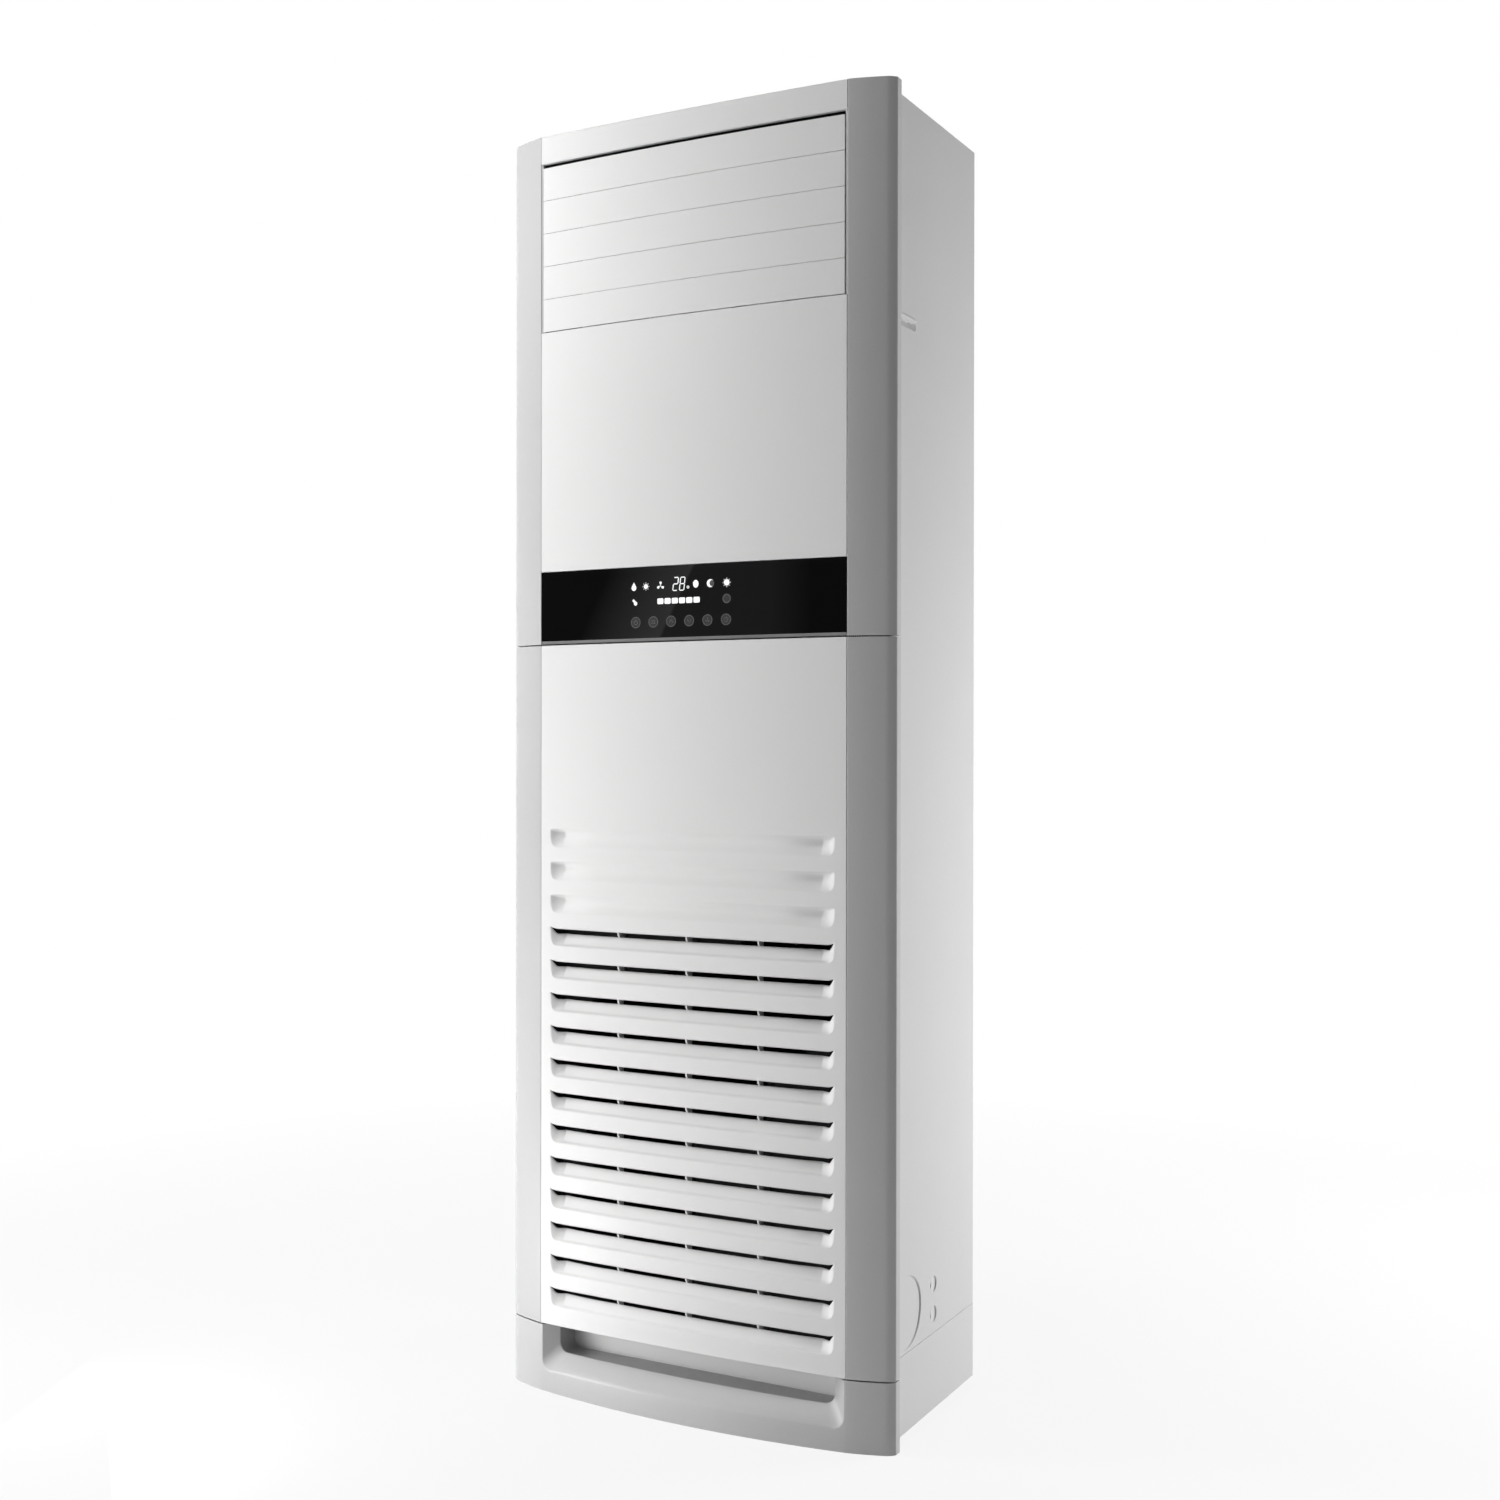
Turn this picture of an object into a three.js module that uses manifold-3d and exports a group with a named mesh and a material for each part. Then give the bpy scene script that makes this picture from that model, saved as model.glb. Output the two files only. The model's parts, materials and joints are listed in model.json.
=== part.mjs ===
// Floor standing air conditioner, indoor unit. Millimetres, +Z up, front towards -Y.
// The origin is the centre of the footprint, on the floor.
import * as THREE from 'three';
import { mergeVertices } from 'three/addons/utils/BufferGeometryUtils.js';
import Module from 'manifold-3d';

const wasm = await Module();
wasm.setup();

// ---------------------------------------------------------------- driving dimensions
const BODY_W = 600;            // front frame, outer width
const BODY_H = 1780;           // floor to the top of the front frame
const CASE_D = 300;            // outer edge of the front frame to the back
const STILE_W = 60.7;          // silver stile on each side of the white panels
const STILE_RISE = 19.6;       // stile's inner edge stands this far ahead of its outer edge
const STILE_CROWN = 3.8;       // how much the stile's face swells between the two
const PANEL_BOW = 6.5;         // swell of panels, display and blades between the stiles
const HEADER_BOW = 5.1;
const FOOT_BOW = 19.4;         // swell of the base cover at the floor
const FRAME_LAP = 8;           // front frame overlaps the casing by this on each side
const FRAME_RETURN = 17;       // depth of the front frame's side return
const CASE_DROP = 12;          // casing's top lies this far below the frame's top
const SHEET = 1.5;             // steel sheet
const MOULDING = 2.5;          // wall of the plastic mouldings
const SEAM = 0.8;              // gap between neighbouring front mouldings
const FIT = 0.3;               // gap between pieces that rest on or against each other

const BASE_H = 94.6;           // seam between base cover and door
const DOOR_TOP = 1059;         // seam between door and upper front
const DISPLAY_H = 103;
const HEADER_H = 39.4;
const HEADER_GAP = 5.6;        // dark gap under the header
const BLADES = 5;
const BLADE_PITCH = 46.5;
const PLINTH_TOP = 115;        // seam between the base and the side panels
const FOOT_H = 11;

// ---------------------------------------------------------------- places worked out from them
const HALF_W = BODY_W / 2;
const PANEL_HALF = HALF_W - STILE_W;
const CASE_HALF = HALF_W - FRAME_LAP;
const CASE_TOP = BODY_H - CASE_DROP;
const EDGE_Y = (STILE_RISE + FOOT_BOW - CASE_D) / 2;
const DISPLAY_TOP = DOOR_TOP + DISPLAY_H;
const HEADER_Z = BODY_H - HEADER_H;
const LOUVRE_Z = HEADER_Z - HEADER_GAP - BLADES * BLADE_PITCH;

/** Y of a plane at a depth behind the front frame's outer edge. */
const atDepth = (depth) => EDGE_Y + depth;

// ---------------------------------------------------------------- solids
function toSolid(geometry) {
  geometry.deleteAttribute('normal');
  geometry.deleteAttribute('uv');
  const merged = mergeVertices(geometry, 1e-4);
  const mesh = new wasm.Mesh({
    numProp: 3,
    vertProperties: new Float32Array(merged.attributes.position.array),
    triVerts: new Uint32Array(merged.index.array),
  });
  return new wasm.Manifold(mesh);
}

function toGeometry(solid) {
  const mesh = solid.getMesh();
  const geometry = new THREE.BufferGeometry();
  geometry.setAttribute('position', new THREE.BufferAttribute(mesh.vertProperties, 3));
  geometry.setIndex(new THREE.BufferAttribute(mesh.triVerts, 1));
  return geometry;
}

const join = (first, ...others) => others.reduce((sum, one) => sum.add(one), first);
const cut = (base, ...tools) => tools.reduce((rest, one) => rest.subtract(one), base);

function prism(outline, length) {
  const shape = new THREE.Shape(outline.map(([u, v]) => new THREE.Vector2(u, v)));
  return new THREE.ExtrudeGeometry(shape, { depth: length, bevelEnabled: false });
}

/** Prisms of an outline along Z (x, y), along Y (x, z) and along X (y, z). */
function alongZ(outline, z0, z1) {
  return toSolid(prism(outline, z1 - z0).translate(0, 0, z0));
}

function alongY(outline, y0, y1) {
  return toSolid(prism(outline, y1 - y0).rotateX(Math.PI / 2).translate(0, y1, 0));
}

function alongX(outline, x0, x1) {
  const turn = new THREE.Matrix4().set(0, 0, 1, x0, 1, 0, 0, 0, 0, 1, 0, 0, 0, 0, 0, 1);
  return toSolid(prism(outline, x1 - x0).applyMatrix4(turn));
}

const rectangle = (u0, u1, v0, v1) => [[u0, v0], [u1, v0], [u1, v1], [u0, v1]];
const box = (x0, x1, y0, y1, z0, z1) => alongZ(rectangle(x0, x1, y0, y1), z0, z1);

function arc(u, v, radius, from, to, steps) {
  return Array.from({ length: steps + 1 }, (_, i) => {
    const angle = from + ((to - from) * i) / steps;
    return [u + radius * Math.cos(angle), v + radius * Math.sin(angle)];
  });
}

const circle = (u, v, radius, sides = 16) => arc(u, v, radius, 0, 2 * Math.PI, sides).slice(0, sides);

/** Rectangle in (u, v) whose two lower corners are rounded. */
function roundFooted(u0, u1, v0, v1, radius, steps = 3) {
  return [[u1, v1], [u0, v1],
    ...arc(u0 + radius, v0 + radius, radius, Math.PI, 1.5 * Math.PI, steps),
    ...arc(u1 - radius, v0 + radius, radius, 1.5 * Math.PI, 2 * Math.PI, steps)];
}

/** Closed skin over equal loops of [x, y, z]; the end loops are planar, seen along capAxis. */
function loft(given, capAxis) {
  const seen = (loop) => loop.map((point) => new THREE.Vector2(...point.filter((_, k) => k !== capAxis)));
  const clockwise = THREE.ShapeUtils.area(seen(given[0])) < 0;
  const loops = clockwise ? given.map((loop) => [...loop].reverse()) : given;
  const count = loops[0].length;
  const positions = loops.flat(2);
  const index = [];
  for (let i = 0; i < loops.length - 1; i += 1) {
    for (let j = 0; j < count; j += 1) {
      const a = i * count + j;
      const b = i * count + ((j + 1) % count);
      index.push(a, b, b + count, a, b + count, a + count);
    }
  }
  const last = (loops.length - 1) * count;
  for (const [a, b, c] of THREE.ShapeUtils.triangulateShape(seen(loops[0]), [])) {
    index.push(a, c, b, last + a, last + b, last + c);
  }
  const geometry = new THREE.BufferGeometry();
  geometry.setAttribute('position', new THREE.Float32BufferAttribute(positions, 3));
  geometry.setIndex(signedVolume(positions, index) < 0 ? index.reverse() : index);
  return toSolid(geometry);
}

function signedVolume(positions, index) {
  const corner = (i) => new THREE.Vector3(...positions.slice(3 * i, 3 * i + 3));
  let volume = 0;
  for (let i = 0; i < index.length; i += 3) {
    const [a, b, c] = [corner(index[i]), corner(index[i + 1]), corner(index[i + 2])];
    volume += a.dot(b.cross(c));
  }
  return volume;
}

/** Round tube along a curve; a bore of 0 makes it solid. */
function tube(points, radius, bore, sides, steps) {
  const path = new THREE.CatmullRomCurve3(points.map((p) => new THREE.Vector3(...p)), false, 'centripetal');
  const section = new THREE.Shape(circle(0, 0, radius, sides).map(([u, v]) => new THREE.Vector2(u, v)));
  if (bore > 0) {
    section.holes.push(new THREE.Path(circle(0, 0, bore, sides).map(([u, v]) => new THREE.Vector2(u, v))));
  }
  return toSolid(new THREE.ExtrudeGeometry(section, { steps, bevelEnabled: false, extrudePath: path }));
}

// ---------------------------------------------------------------- the scene graph
const unit = new THREE.Group();

const FINISHES = {
  white: { color: 0xf1f1f0, roughness: 0.35, metalness: 0 },
  silver: { color: 0xb9bbbd, roughness: 0.38, metalness: 0.35 },
  casing: { color: 0xdadada, roughness: 0.5, metalness: 0.1 },
  glass: { color: 0x060606, roughness: 0.06, metalness: 0 },
  dark: { color: 0x2a2b2d, roughness: 0.6, metalness: 0 },
  vane: { color: 0xe4e4e2, roughness: 0.45, metalness: 0 },
  zinc: { color: 0xa9adb0, roughness: 0.45, metalness: 0.8 },
  foam: { color: 0xf4f4f2, roughness: 0.9, metalness: 0 },
  fins: { color: 0xc9ccd0, roughness: 0.35, metalness: 0.9 },
  copper: { color: 0xb87048, roughness: 0.3, metalness: 0.9 },
  motor: { color: 0x3a3c40, roughness: 0.5, metalness: 0.5 },
  steel: { color: 0x9a9da1, roughness: 0.3, metalness: 0.9 },
  board: { color: 0x1f5a35, roughness: 0.6, metalness: 0 },
  rubber: { color: 0x1c1c1c, roughness: 0.8, metalness: 0 },
  net: { color: 0x3f4448, roughness: 0.7, metalness: 0 },
};

function add(name, finish, solid, parent = unit) {
  const mesh = new THREE.Mesh(toGeometry(solid), new THREE.MeshStandardMaterial(FINISHES[finish]));
  mesh.name = name;
  parent.add(mesh);
  return mesh;
}

/** Both sides of the object: side is -1 on the left and +1 on the right. */
const SIDES = [['left', -1], ['right', 1]];
const mirrored = (solid, side) => (side > 0 ? solid : solid.scale([-1, 1, 1]));

// ---------------------------------------------------------------- front surfaces
const BOW_STEPS = 6;

/** Depth of the front surface between the stiles, at x. */
const bowDepth = (x, bow) => -(STILE_RISE + bow * (1 - (x / PANEL_HALF) ** 2));

/** Depth of a stile's face, at x between its inner and outer edge. */
function stileDepth(x) {
  const t = (HALF_W - x) / STILE_W;
  return -(STILE_RISE * t + 4 * STILE_CROWN * t * (1 - t));
}

/** Points of the front curve from -half to +half, pushed back by inset. */
function bowCurve(half, bow, inset, steps = BOW_STEPS) {
  return Array.from({ length: steps + 1 }, (_, i) => {
    const x = half * (2 * i / steps - 1);
    return [x, atDepth(bowDepth(x, bow) + inset)];
  });
}

/** Tray-shaped moulding between the stiles: bowed front wall with flanges back to a depth. */
function bowedTray({ half, z0, z1, bow, depth, steps = BOW_STEPS }) {
  const inner = half - MOULDING;
  const back = atDepth(depth);
  const outer = [...bowCurve(half, bow, 0, steps), [half, back], [-half, back]];
  const hollow = [...bowCurve(inner, bow, MOULDING, steps), [inner, back + 1], [-inner, back + 1]];
  return cut(alongZ(outer, z0, z1), alongZ(hollow, z0 + MOULDING, z1 - MOULDING));
}

/** A profile of [depth behind the front surface, z] drawn out along the bow. */
function bowedBar(profile, x0, x1, bow, steps = BOW_STEPS) {
  const loops = Array.from({ length: steps + 1 }, (_, i) => {
    const x = x0 + ((x1 - x0) * i) / steps;
    return profile.map(([inset, z]) => [x, atDepth(bowDepth(x, bow) + inset), z]);
  });
  return loft(loops, 0);
}

// ---------------------------------------------------------------- stiles
const STILE_EDGE_R = 5;        // rounding where the stile's face meets its side return
const STILE_STEPS = 5;
const STILE_INNER_D = -13.5;   // inner wall of the stile ends here, ahead of the outlet frame
const POST_D = 22;             // face of the front posts
const RIB_BACK_D = 16;         // stile's ribs end here beside the outlet frame
const SIDE_FRONT_D = 2;        // front edge of the casing's sides
const CASE_FLANGE = 12;        // folded front edge of the side panels

/** Right-hand stile in plan: face, side return, and a lip that closes the gap to the casing. */
function stileOutline() {
  const xIn = PANEL_HALF + SEAM / 2;
  const xEdge = HALF_W - STILE_EDGE_R;
  const face = Array.from({ length: STILE_STEPS + 1 }, (_, i) => {
    const x = xIn + ((xEdge - xIn) * i) / STILE_STEPS;
    return [x, stileDepth(x)];
  });
  const inside = face.map(([x, d], i) => [i === 0 ? x + MOULDING : x, d + MOULDING]).reverse();
  const outline = [...face,
    [HALF_W - 1.2, stileDepth(HALF_W) + 1], [HALF_W, STILE_EDGE_R],
    [HALF_W, FRAME_RETURN], [CASE_HALF + FIT, FRAME_RETURN], [CASE_HALF + FIT, FRAME_RETURN - MOULDING],
    [HALF_W - MOULDING, FRAME_RETURN - MOULDING], [HALF_W - MOULDING, STILE_EDGE_R + 1],
    ...inside, [xIn + MOULDING, STILE_INNER_D], [xIn, STILE_INNER_D]];
  return outline.map(([x, d]) => [x, atDepth(d)]);
}

/** Web across the stile's hollow whose back edge rests against the front post. */
function stileRib(z) {
  const x0 = PANEL_HALF + MOULDING;
  const xStep = PANEL_HALF + 25;
  const x1 = CASE_HALF - CASE_FLANGE - 2;
  const back = POST_D - FIT;
  const front = (x) => stileDepth(x) + MOULDING / 2;
  const outline = [[x0, front(x0)], [xStep, front(xStep)], [x1, front(x1)],
    [x1, back], [xStep, back], [xStep, RIB_BACK_D], [x0 + 4, RIB_BACK_D], [x0 + 4, STILE_INNER_D - 1],
    [x0, STILE_INNER_D - 1]];
  return alongZ(outline.map(([x, d]) => [x, atDepth(d)]), z, z + MOULDING);
}

function stile(z0, z1, ribs) {
  const shell = alongZ(stileOutline(), z0, z1);
  const spacing = (z1 - z0) / (ribs + 1);
  return join(shell, ...Array.from({ length: ribs }, (_, i) => stileRib(z0 + spacing * (i + 1))));
}

function stileCap() {
  const outline = stileOutline();
  const rim = outline.slice(0, STILE_STEPS + 5);
  return alongZ([...rim, [PANEL_HALF + SEAM / 2, atDepth(FRAME_RETURN)]], BODY_H - MOULDING, BODY_H);
}

for (const [sideName, side] of SIDES) {
  const upper = join(stile(DOOR_TOP + SEAM, BODY_H, 3), stileCap());
  add(`upper_stile_${sideName}`, 'silver', mirrored(upper, side));
}

// ---------------------------------------------------------------- header, upper panel, display
const FACE_HALF = PANEL_HALF - SEAM / 2;

function header() {
  const outline = [...bowCurve(FACE_HALF, HEADER_BOW, 0),
    [FACE_HALF, atDepth(FRAME_RETURN)], [-FACE_HALF, atDepth(FRAME_RETURN)]];
  const inner = [...bowCurve(FACE_HALF - MOULDING, HEADER_BOW, MOULDING),
    [FACE_HALF - MOULDING, atDepth(FRAME_RETURN + 1)], [MOULDING - FACE_HALF, atDepth(FRAME_RETURN + 1)]];
  const sideRelief = box(-HALF_W, HALF_W, atDepth(STILE_INNER_D - 1), atDepth(FRAME_RETURN + 1),
    HEADER_Z - 1, BODY_H - MOULDING);
  return cut(alongZ(outline, HEADER_Z, BODY_H), alongZ(inner, HEADER_Z - 1, BODY_H - MOULDING), sideRelief);
}

const DISPLAY_BEVEL = 4;       // polished slope along the display's lower edge
const BOARD_HALF = 105;
const BOARD_D = -19.5;         // face of the display board, behind the bowed glass
const BOARD_Z = [DOOR_TOP + 12, DISPLAY_TOP - 10];

function displayWindow() {
  const z0 = DOOR_TOP + SEAM;
  const z1 = DISPLAY_TOP - SEAM / 2;
  const tray = bowedTray({ half: FACE_HALF, z0, z1, bow: PANEL_BOW, depth: -10 });
  const bevel = bowedBar([[-1, z0 - 1], [1.8, z0 - 1], [0, z0 + DISPLAY_BEVEL], [-1, z0 + DISPLAY_BEVEL]],
    -HALF_W, HALF_W, PANEL_BOW, 8);
  const ear = (side) => {
    const reach = BOARD_HALF + FIT;
    const x = [reach, reach + MOULDING].map((value) => value * side).sort((a, b) => a - b);
    return box(x[0], x[1], atDepth(bowDepth(BOARD_HALF, PANEL_BOW) + 1), atDepth(-10), ...BOARD_Z);
  };
  return join(cut(tray, bevel), ear(-1), ear(1));
}

add('header', 'white', header());
add('upper_front_panel', 'white',
  bowedTray({
    half: FACE_HALF, z0: DISPLAY_TOP + SEAM / 2, z1: LOUVRE_Z - SEAM, bow: PANEL_BOW, depth: STILE_INNER_D,
  }));
add('display_window', 'glass', displayWindow());
add('display_board', 'board',
  box(-BOARD_HALF, BOARD_HALF, atDepth(BOARD_D), atDepth(BOARD_D + 1.6), ...BOARD_Z));

// ---------------------------------------------------------------- base cover
const HOOK_D = -16.5;          // door hooks turn about this line
const HOOK_Z = 100;
const HOOK_R = 1.6;
const HOOK_X = 202;            // middle of each hook's arm
const HOOK_ARM = 3;
const HOOK_PIN = 8;            // length of the pin beside the arm
const HOOK_CLEAR = 0.3;        // round the pin, in the door's lug
const COVER_TOP = BASE_H - 0.9;
const SCOOP_Z = 30;            // lip of the toe recess
const SCOOP_R = 16;
const SCOOP_D = 14;            // the recess's sloping floor ends here
const SCOOP_FLOOR = [[-30, SCOOP_Z + 0.5], [-10, SCOOP_Z + 6], [SCOOP_D, SCOOP_Z + 18]];
const POCKET_D = 45;           // dark pocket behind the recess
const POCKET_FLOOR_Z = 40;
const POCKET_LEDGE = 6;        // the pocket is this much narrower than the scoop on each side
const POCKET_FOOT_R = 12;
const RECESS_FAR_D = -80;      // well ahead of the bowed front
const STILE_STATIONS = [20, 40];
const SCOOP_HALF = PANEL_HALF - 3;

/** Plan of the base cover, filled back to a depth, with the bow that it has at one height. */
function coverPlan(bow, inset, depth) {
  const half = HALF_W - inset;
  const edge = (HALF_W - STILE_EDGE_R);
  const stileX = [...STILE_STATIONS.map((step) => PANEL_HALF + step), edge - inset];
  const right = stileX.map((x) => [x, stileDepth(x) + inset]);
  const left = right.map(([x, d]) => [-x, d]).reverse();
  const middle = bowCurve(PANEL_HALF, bow, inset).map(([x, y]) => [x, y - EDGE_Y]);
  const outline = [[-half, depth], [-half, STILE_EDGE_R], ...left, ...middle, ...right,
    [half, STILE_EDGE_R], [half, depth]];
  return outline.map(([x, d]) => [x, atDepth(d)]);
}

function coverSolid(inset, depth, z0, z1) {
  const bowAt = (z) => PANEL_BOW + (FOOT_BOW - PANEL_BOW) * (1 - z / BASE_H);
  const loop = (z) => coverPlan(bowAt(z), inset, depth).map(([x, y]) => [x, y, z]);
  return loft([loop(z0), loop(z1)], 2);
}

function hookArm(side) {
  const x = side * HOOK_X;
  const arm = [...arc(atDepth(HOOK_D), HOOK_Z, HOOK_R, Math.PI / 2, 1.5 * Math.PI, 6),
    [atDepth(SCOOP_D + 1), HOOK_Z - HOOK_R], [atDepth(SCOOP_D + 1), HOOK_Z + HOOK_R]];
  const pinEnd = x - side * HOOK_PIN;
  return join(alongX(arm, x - HOOK_ARM / 2, x + HOOK_ARM / 2),
    alongX(circle(atDepth(HOOK_D), HOOK_Z, HOOK_R, 12), Math.min(x, pinEnd), Math.max(x, pinEnd)));
}

/** The toe recess, grown by a wall: a scoop with round lower corners over a rising floor. */
function scoop(grow) {
  const far = RECESS_FAR_D;
  const corners = roundFooted(-SCOOP_HALF - grow, SCOOP_HALF + grow, SCOOP_Z - grow, COVER_TOP + 1 - grow,
    SCOOP_R + grow);
  const profile = [[far, SCOOP_Z - grow], ...SCOOP_FLOOR.map(([d, z]) => [d + grow, z - grow]),
    [SCOOP_D + grow, COVER_TOP + 1], [far, COVER_TOP + 1]].map(([d, z]) => [atDepth(d), z]);
  return alongY(corners, atDepth(far), atDepth(SCOOP_D + grow)).intersect(alongX(profile, -HALF_W, HALF_W));
}

/** The dark pocket behind the scoop, grown by a wall. */
function toePocket(grow, depth0, depth1, top) {
  const half = SCOOP_HALF - POCKET_LEDGE + grow;
  const outline = roundFooted(-half, half, POCKET_FLOOR_Z - grow, top, POCKET_FOOT_R);
  return alongY(outline, atDepth(depth0), atDepth(depth1));
}

/** Closes the gap between the cover's side return and the casing, and clears the casing's edge. */
function coverSide(side) {
  const lip = box(CASE_HALF + FIT, HALF_W - 1, atDepth(FRAME_RETURN - MOULDING), atDepth(FRAME_RETURN), 0,
    COVER_TOP);
  const slit = box(CASE_HALF - SHEET - FIT, CASE_HALF + FIT, atDepth(SIDE_FRONT_D - FIT),
    atDepth(FRAME_RETURN + 1), COVER_TOP - MOULDING - 1, COVER_TOP + 1);
  return { lip: mirrored(lip, side), slit: mirrored(slit, side) };
}

function baseCover() {
  const whole = coverSolid(0, FRAME_RETURN, 0, COVER_TOP);
  const shell = cut(whole, coverSolid(MOULDING, FRAME_RETURN + 1, -1, COVER_TOP - MOULDING));
  const lined = cut(join(shell, scoop(MOULDING).intersect(whole)), scoop(0));
  const backRail = box(-SCOOP_HALF, SCOOP_HALF, atDepth(SCOOP_D), atDepth(FRAME_RETURN),
    COVER_TOP - MOULDING, HOOK_Z + HOOK_R);
  const boxed = join(lined, toePocket(MOULDING, SCOOP_D, POCKET_D + MOULDING, COVER_TOP), backRail);
  const hollow = toePocket(0, SCOOP_D - 3, POCKET_D, COVER_TOP - MOULDING);
  const [left, right] = [coverSide(-1), coverSide(1)];
  return cut(join(cut(boxed, hollow), hookArm(-1), hookArm(1), left.lip, right.lip), left.slit, right.slit);
}

add('base_cover', 'silver', baseCover());

// ---------------------------------------------------------------- door: lower panel and its stiles
const DOOR_Z = BASE_H + 1;
const POCKET_PITCH = 46.4;
const POCKET_H = 26;
const POCKET_R = 10;
const SLOT_H = 7;
const OPEN_ROWS = 12;
const BLIND_ROWS = 3;
const LOWEST_ROW_Z = 149.6;    // top of the lowest pocket
const POCKET_INSET = 17.3;     // pockets end this far from the stiles
const POCKET_DEPTH = 11;
const RIB_X = [-110, 0, 110];
const RIB_T = 3;
const DOOR_STEPS = 4;
const PANEL_FLANGE_D = -6;     // the lower panel's flanges end here
const AHEAD_D = -60;           // ahead of every front moulding
const BEHIND_SKIN_D = -12;     // behind the lower panel's skin everywhere
const POCKET_LAP = 2.5;        // overlap of a pocket's walls with the skin round it
const LUG_T = 4;
const LUG_RISE = [6, 16];      // lug's height over the pin, at its back and at the skin

const door = new THREE.Group();
unit.add(door);

/** One row: the opening in the skin, the slope behind it and its two end walls. */
function pocketRow(top, open) {
  const half = PANEL_HALF - POCKET_INSET;
  const bottom = top - POCKET_H;
  const skin = MOULDING;
  const opening = alongY(roundFooted(-half, half, bottom, top, POCKET_R, 2), atDepth(AHEAD_D),
    atDepth(BEHIND_SKIN_D));
  const slotTop = open ? top - SLOT_H : top;
  const slope = [[skin - 0.2, bottom - 2], [skin - 0.2, bottom], [POCKET_DEPTH, slotTop],
    [POCKET_DEPTH + skin, slotTop], [POCKET_DEPTH + skin, slotTop - 3]];
  const back = POCKET_DEPTH + skin;
  const closed = [[0.5, top + POCKET_LAP], [back, top + POCKET_LAP], [back, top - 3], [POCKET_DEPTH, top],
    [0.5, top]];
  const strips = [bowedBar(slope, -half - skin, half + skin, PANEL_BOW, DOOR_STEPS)];
  if (!open) strips.push(bowedBar(closed, -half - skin, half + skin, PANEL_BOW, DOOR_STEPS));
  const endD = bowDepth(half, PANEL_BOW);
  const endBack = endD + POCKET_DEPTH + skin;
  const end = [[endD + 0.5, bottom - 2], [endD + 0.5, top + POCKET_LAP], [endBack, top + POCKET_LAP],
    [endBack, slotTop - 3]].map(([d, z]) => [atDepth(d), z]);
  const walls = [alongX(end, half, half + skin), alongX(end, -half - skin, -half)];
  return { opening, added: [...strips, ...walls] };
}

/** Lug on the panel's back that turns on a hook's pin. */
function doorLug(side) {
  const x = side * (HOOK_X - HOOK_ARM / 2 - HOOK_PIN / 2 - 0.5);
  const front = bowDepth(HOOK_X, PANEL_BOW) + 1;
  const outline = [[front, DOOR_Z], [HOOK_D + 5, DOOR_Z], [HOOK_D + 5, HOOK_Z + LUG_RISE[0]],
    [front, HOOK_Z + LUG_RISE[1]]];
  const lug = alongX(outline.map(([d, z]) => [atDepth(d), z]), x - LUG_T / 2, x + LUG_T / 2);
  return cut(lug, alongX(circle(atDepth(HOOK_D), HOOK_Z, HOOK_R + HOOK_CLEAR, 12), x - LUG_T, x + LUG_T));
}

function lowerPanel() {
  const z1 = DOOR_TOP - SEAM;
  const tray = bowedTray({
    half: FACE_HALF, z0: DOOR_Z - MOULDING, z1, bow: PANEL_BOW, depth: PANEL_FLANGE_D, steps: DOOR_STEPS,
  });
  const footless = cut(tray, box(-HALF_W, HALF_W, atDepth(AHEAD_D), atDepth(0), 0, DOOR_Z));
  const rows = Array.from({ length: OPEN_ROWS + BLIND_ROWS }, (_, i) =>
    pocketRow(LOWEST_ROW_Z + POCKET_PITCH * i, i < OPEN_ROWS));
  const opened = cut(footless, ...rows.map((row) => row.opening));
  const ribTop = LOWEST_ROW_Z + POCKET_PITCH * (OPEN_ROWS - 1) + 8;
  const ribs = RIB_X.map((x) => box(x - RIB_T / 2, x + RIB_T / 2,
    atDepth(bowDepth(x, PANEL_BOW) + POCKET_DEPTH + 1), atDepth(PANEL_FLANGE_D), LOWEST_ROW_Z - POCKET_H - 2,
    ribTop));
  return join(opened, ...rows.flatMap((row) => row.added), ...ribs, doorLug(-1), doorLug(1));
}

add('lower_panel', 'white', lowerPanel(), door);
for (const [sideName, side] of SIDES) {
  add(`lower_stile_${sideName}`, 'silver', mirrored(stile(DOOR_Z, DOOR_TOP - SEAM, 3), side), door);
}

// ---------------------------------------------------------------- casing
const POST_IN = PANEL_HALF + 6.7;
const POST_BACK = POST_D + 18;
const BACK_FLANGE = 16;
const TOP_SKIRT = 16;
const PIPE_KNOCKOUT = { depth: 58, z: 168, radius: 48, steps: 5 };
const CABLE_KNOCKOUTS = [182, 141].map((z) => ({ depth: 149, z, radius: 11.5, steps: 2 }));
const KNOCKOUT_GAP = 1.4;
const GRIP = { from: 19, to: 84, height: 6 };
const GRIP_Z = LOUVRE_Z - 27.5;

/** Arc slot that leaves the knock-out hanging on its ties. */
function knockoutArcs({ depth, z, radius, steps }, wall0, wall1) {
  const quarter = (middle) => {
    const spread = 0.62;
    const outer = arc(atDepth(depth), z, radius, middle - spread, middle + spread, steps);
    const inner = arc(atDepth(depth), z, radius - KNOCKOUT_GAP, middle + spread, middle - spread, steps);
    return alongX([...outer, ...inner], wall0, wall1);
  };
  return [0, Math.PI / 2, Math.PI, 1.5 * Math.PI].map(quarter);
}

/** Pressed slot high on the casing's side, cut through the side panel and the post behind it. */
function gripSlot() {
  return box(CASE_HALF - 5, CASE_HALF + 1, atDepth(GRIP.from), atDepth(GRIP.to),
    GRIP_Z - GRIP.height / 2, GRIP_Z + GRIP.height / 2);
}

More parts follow.
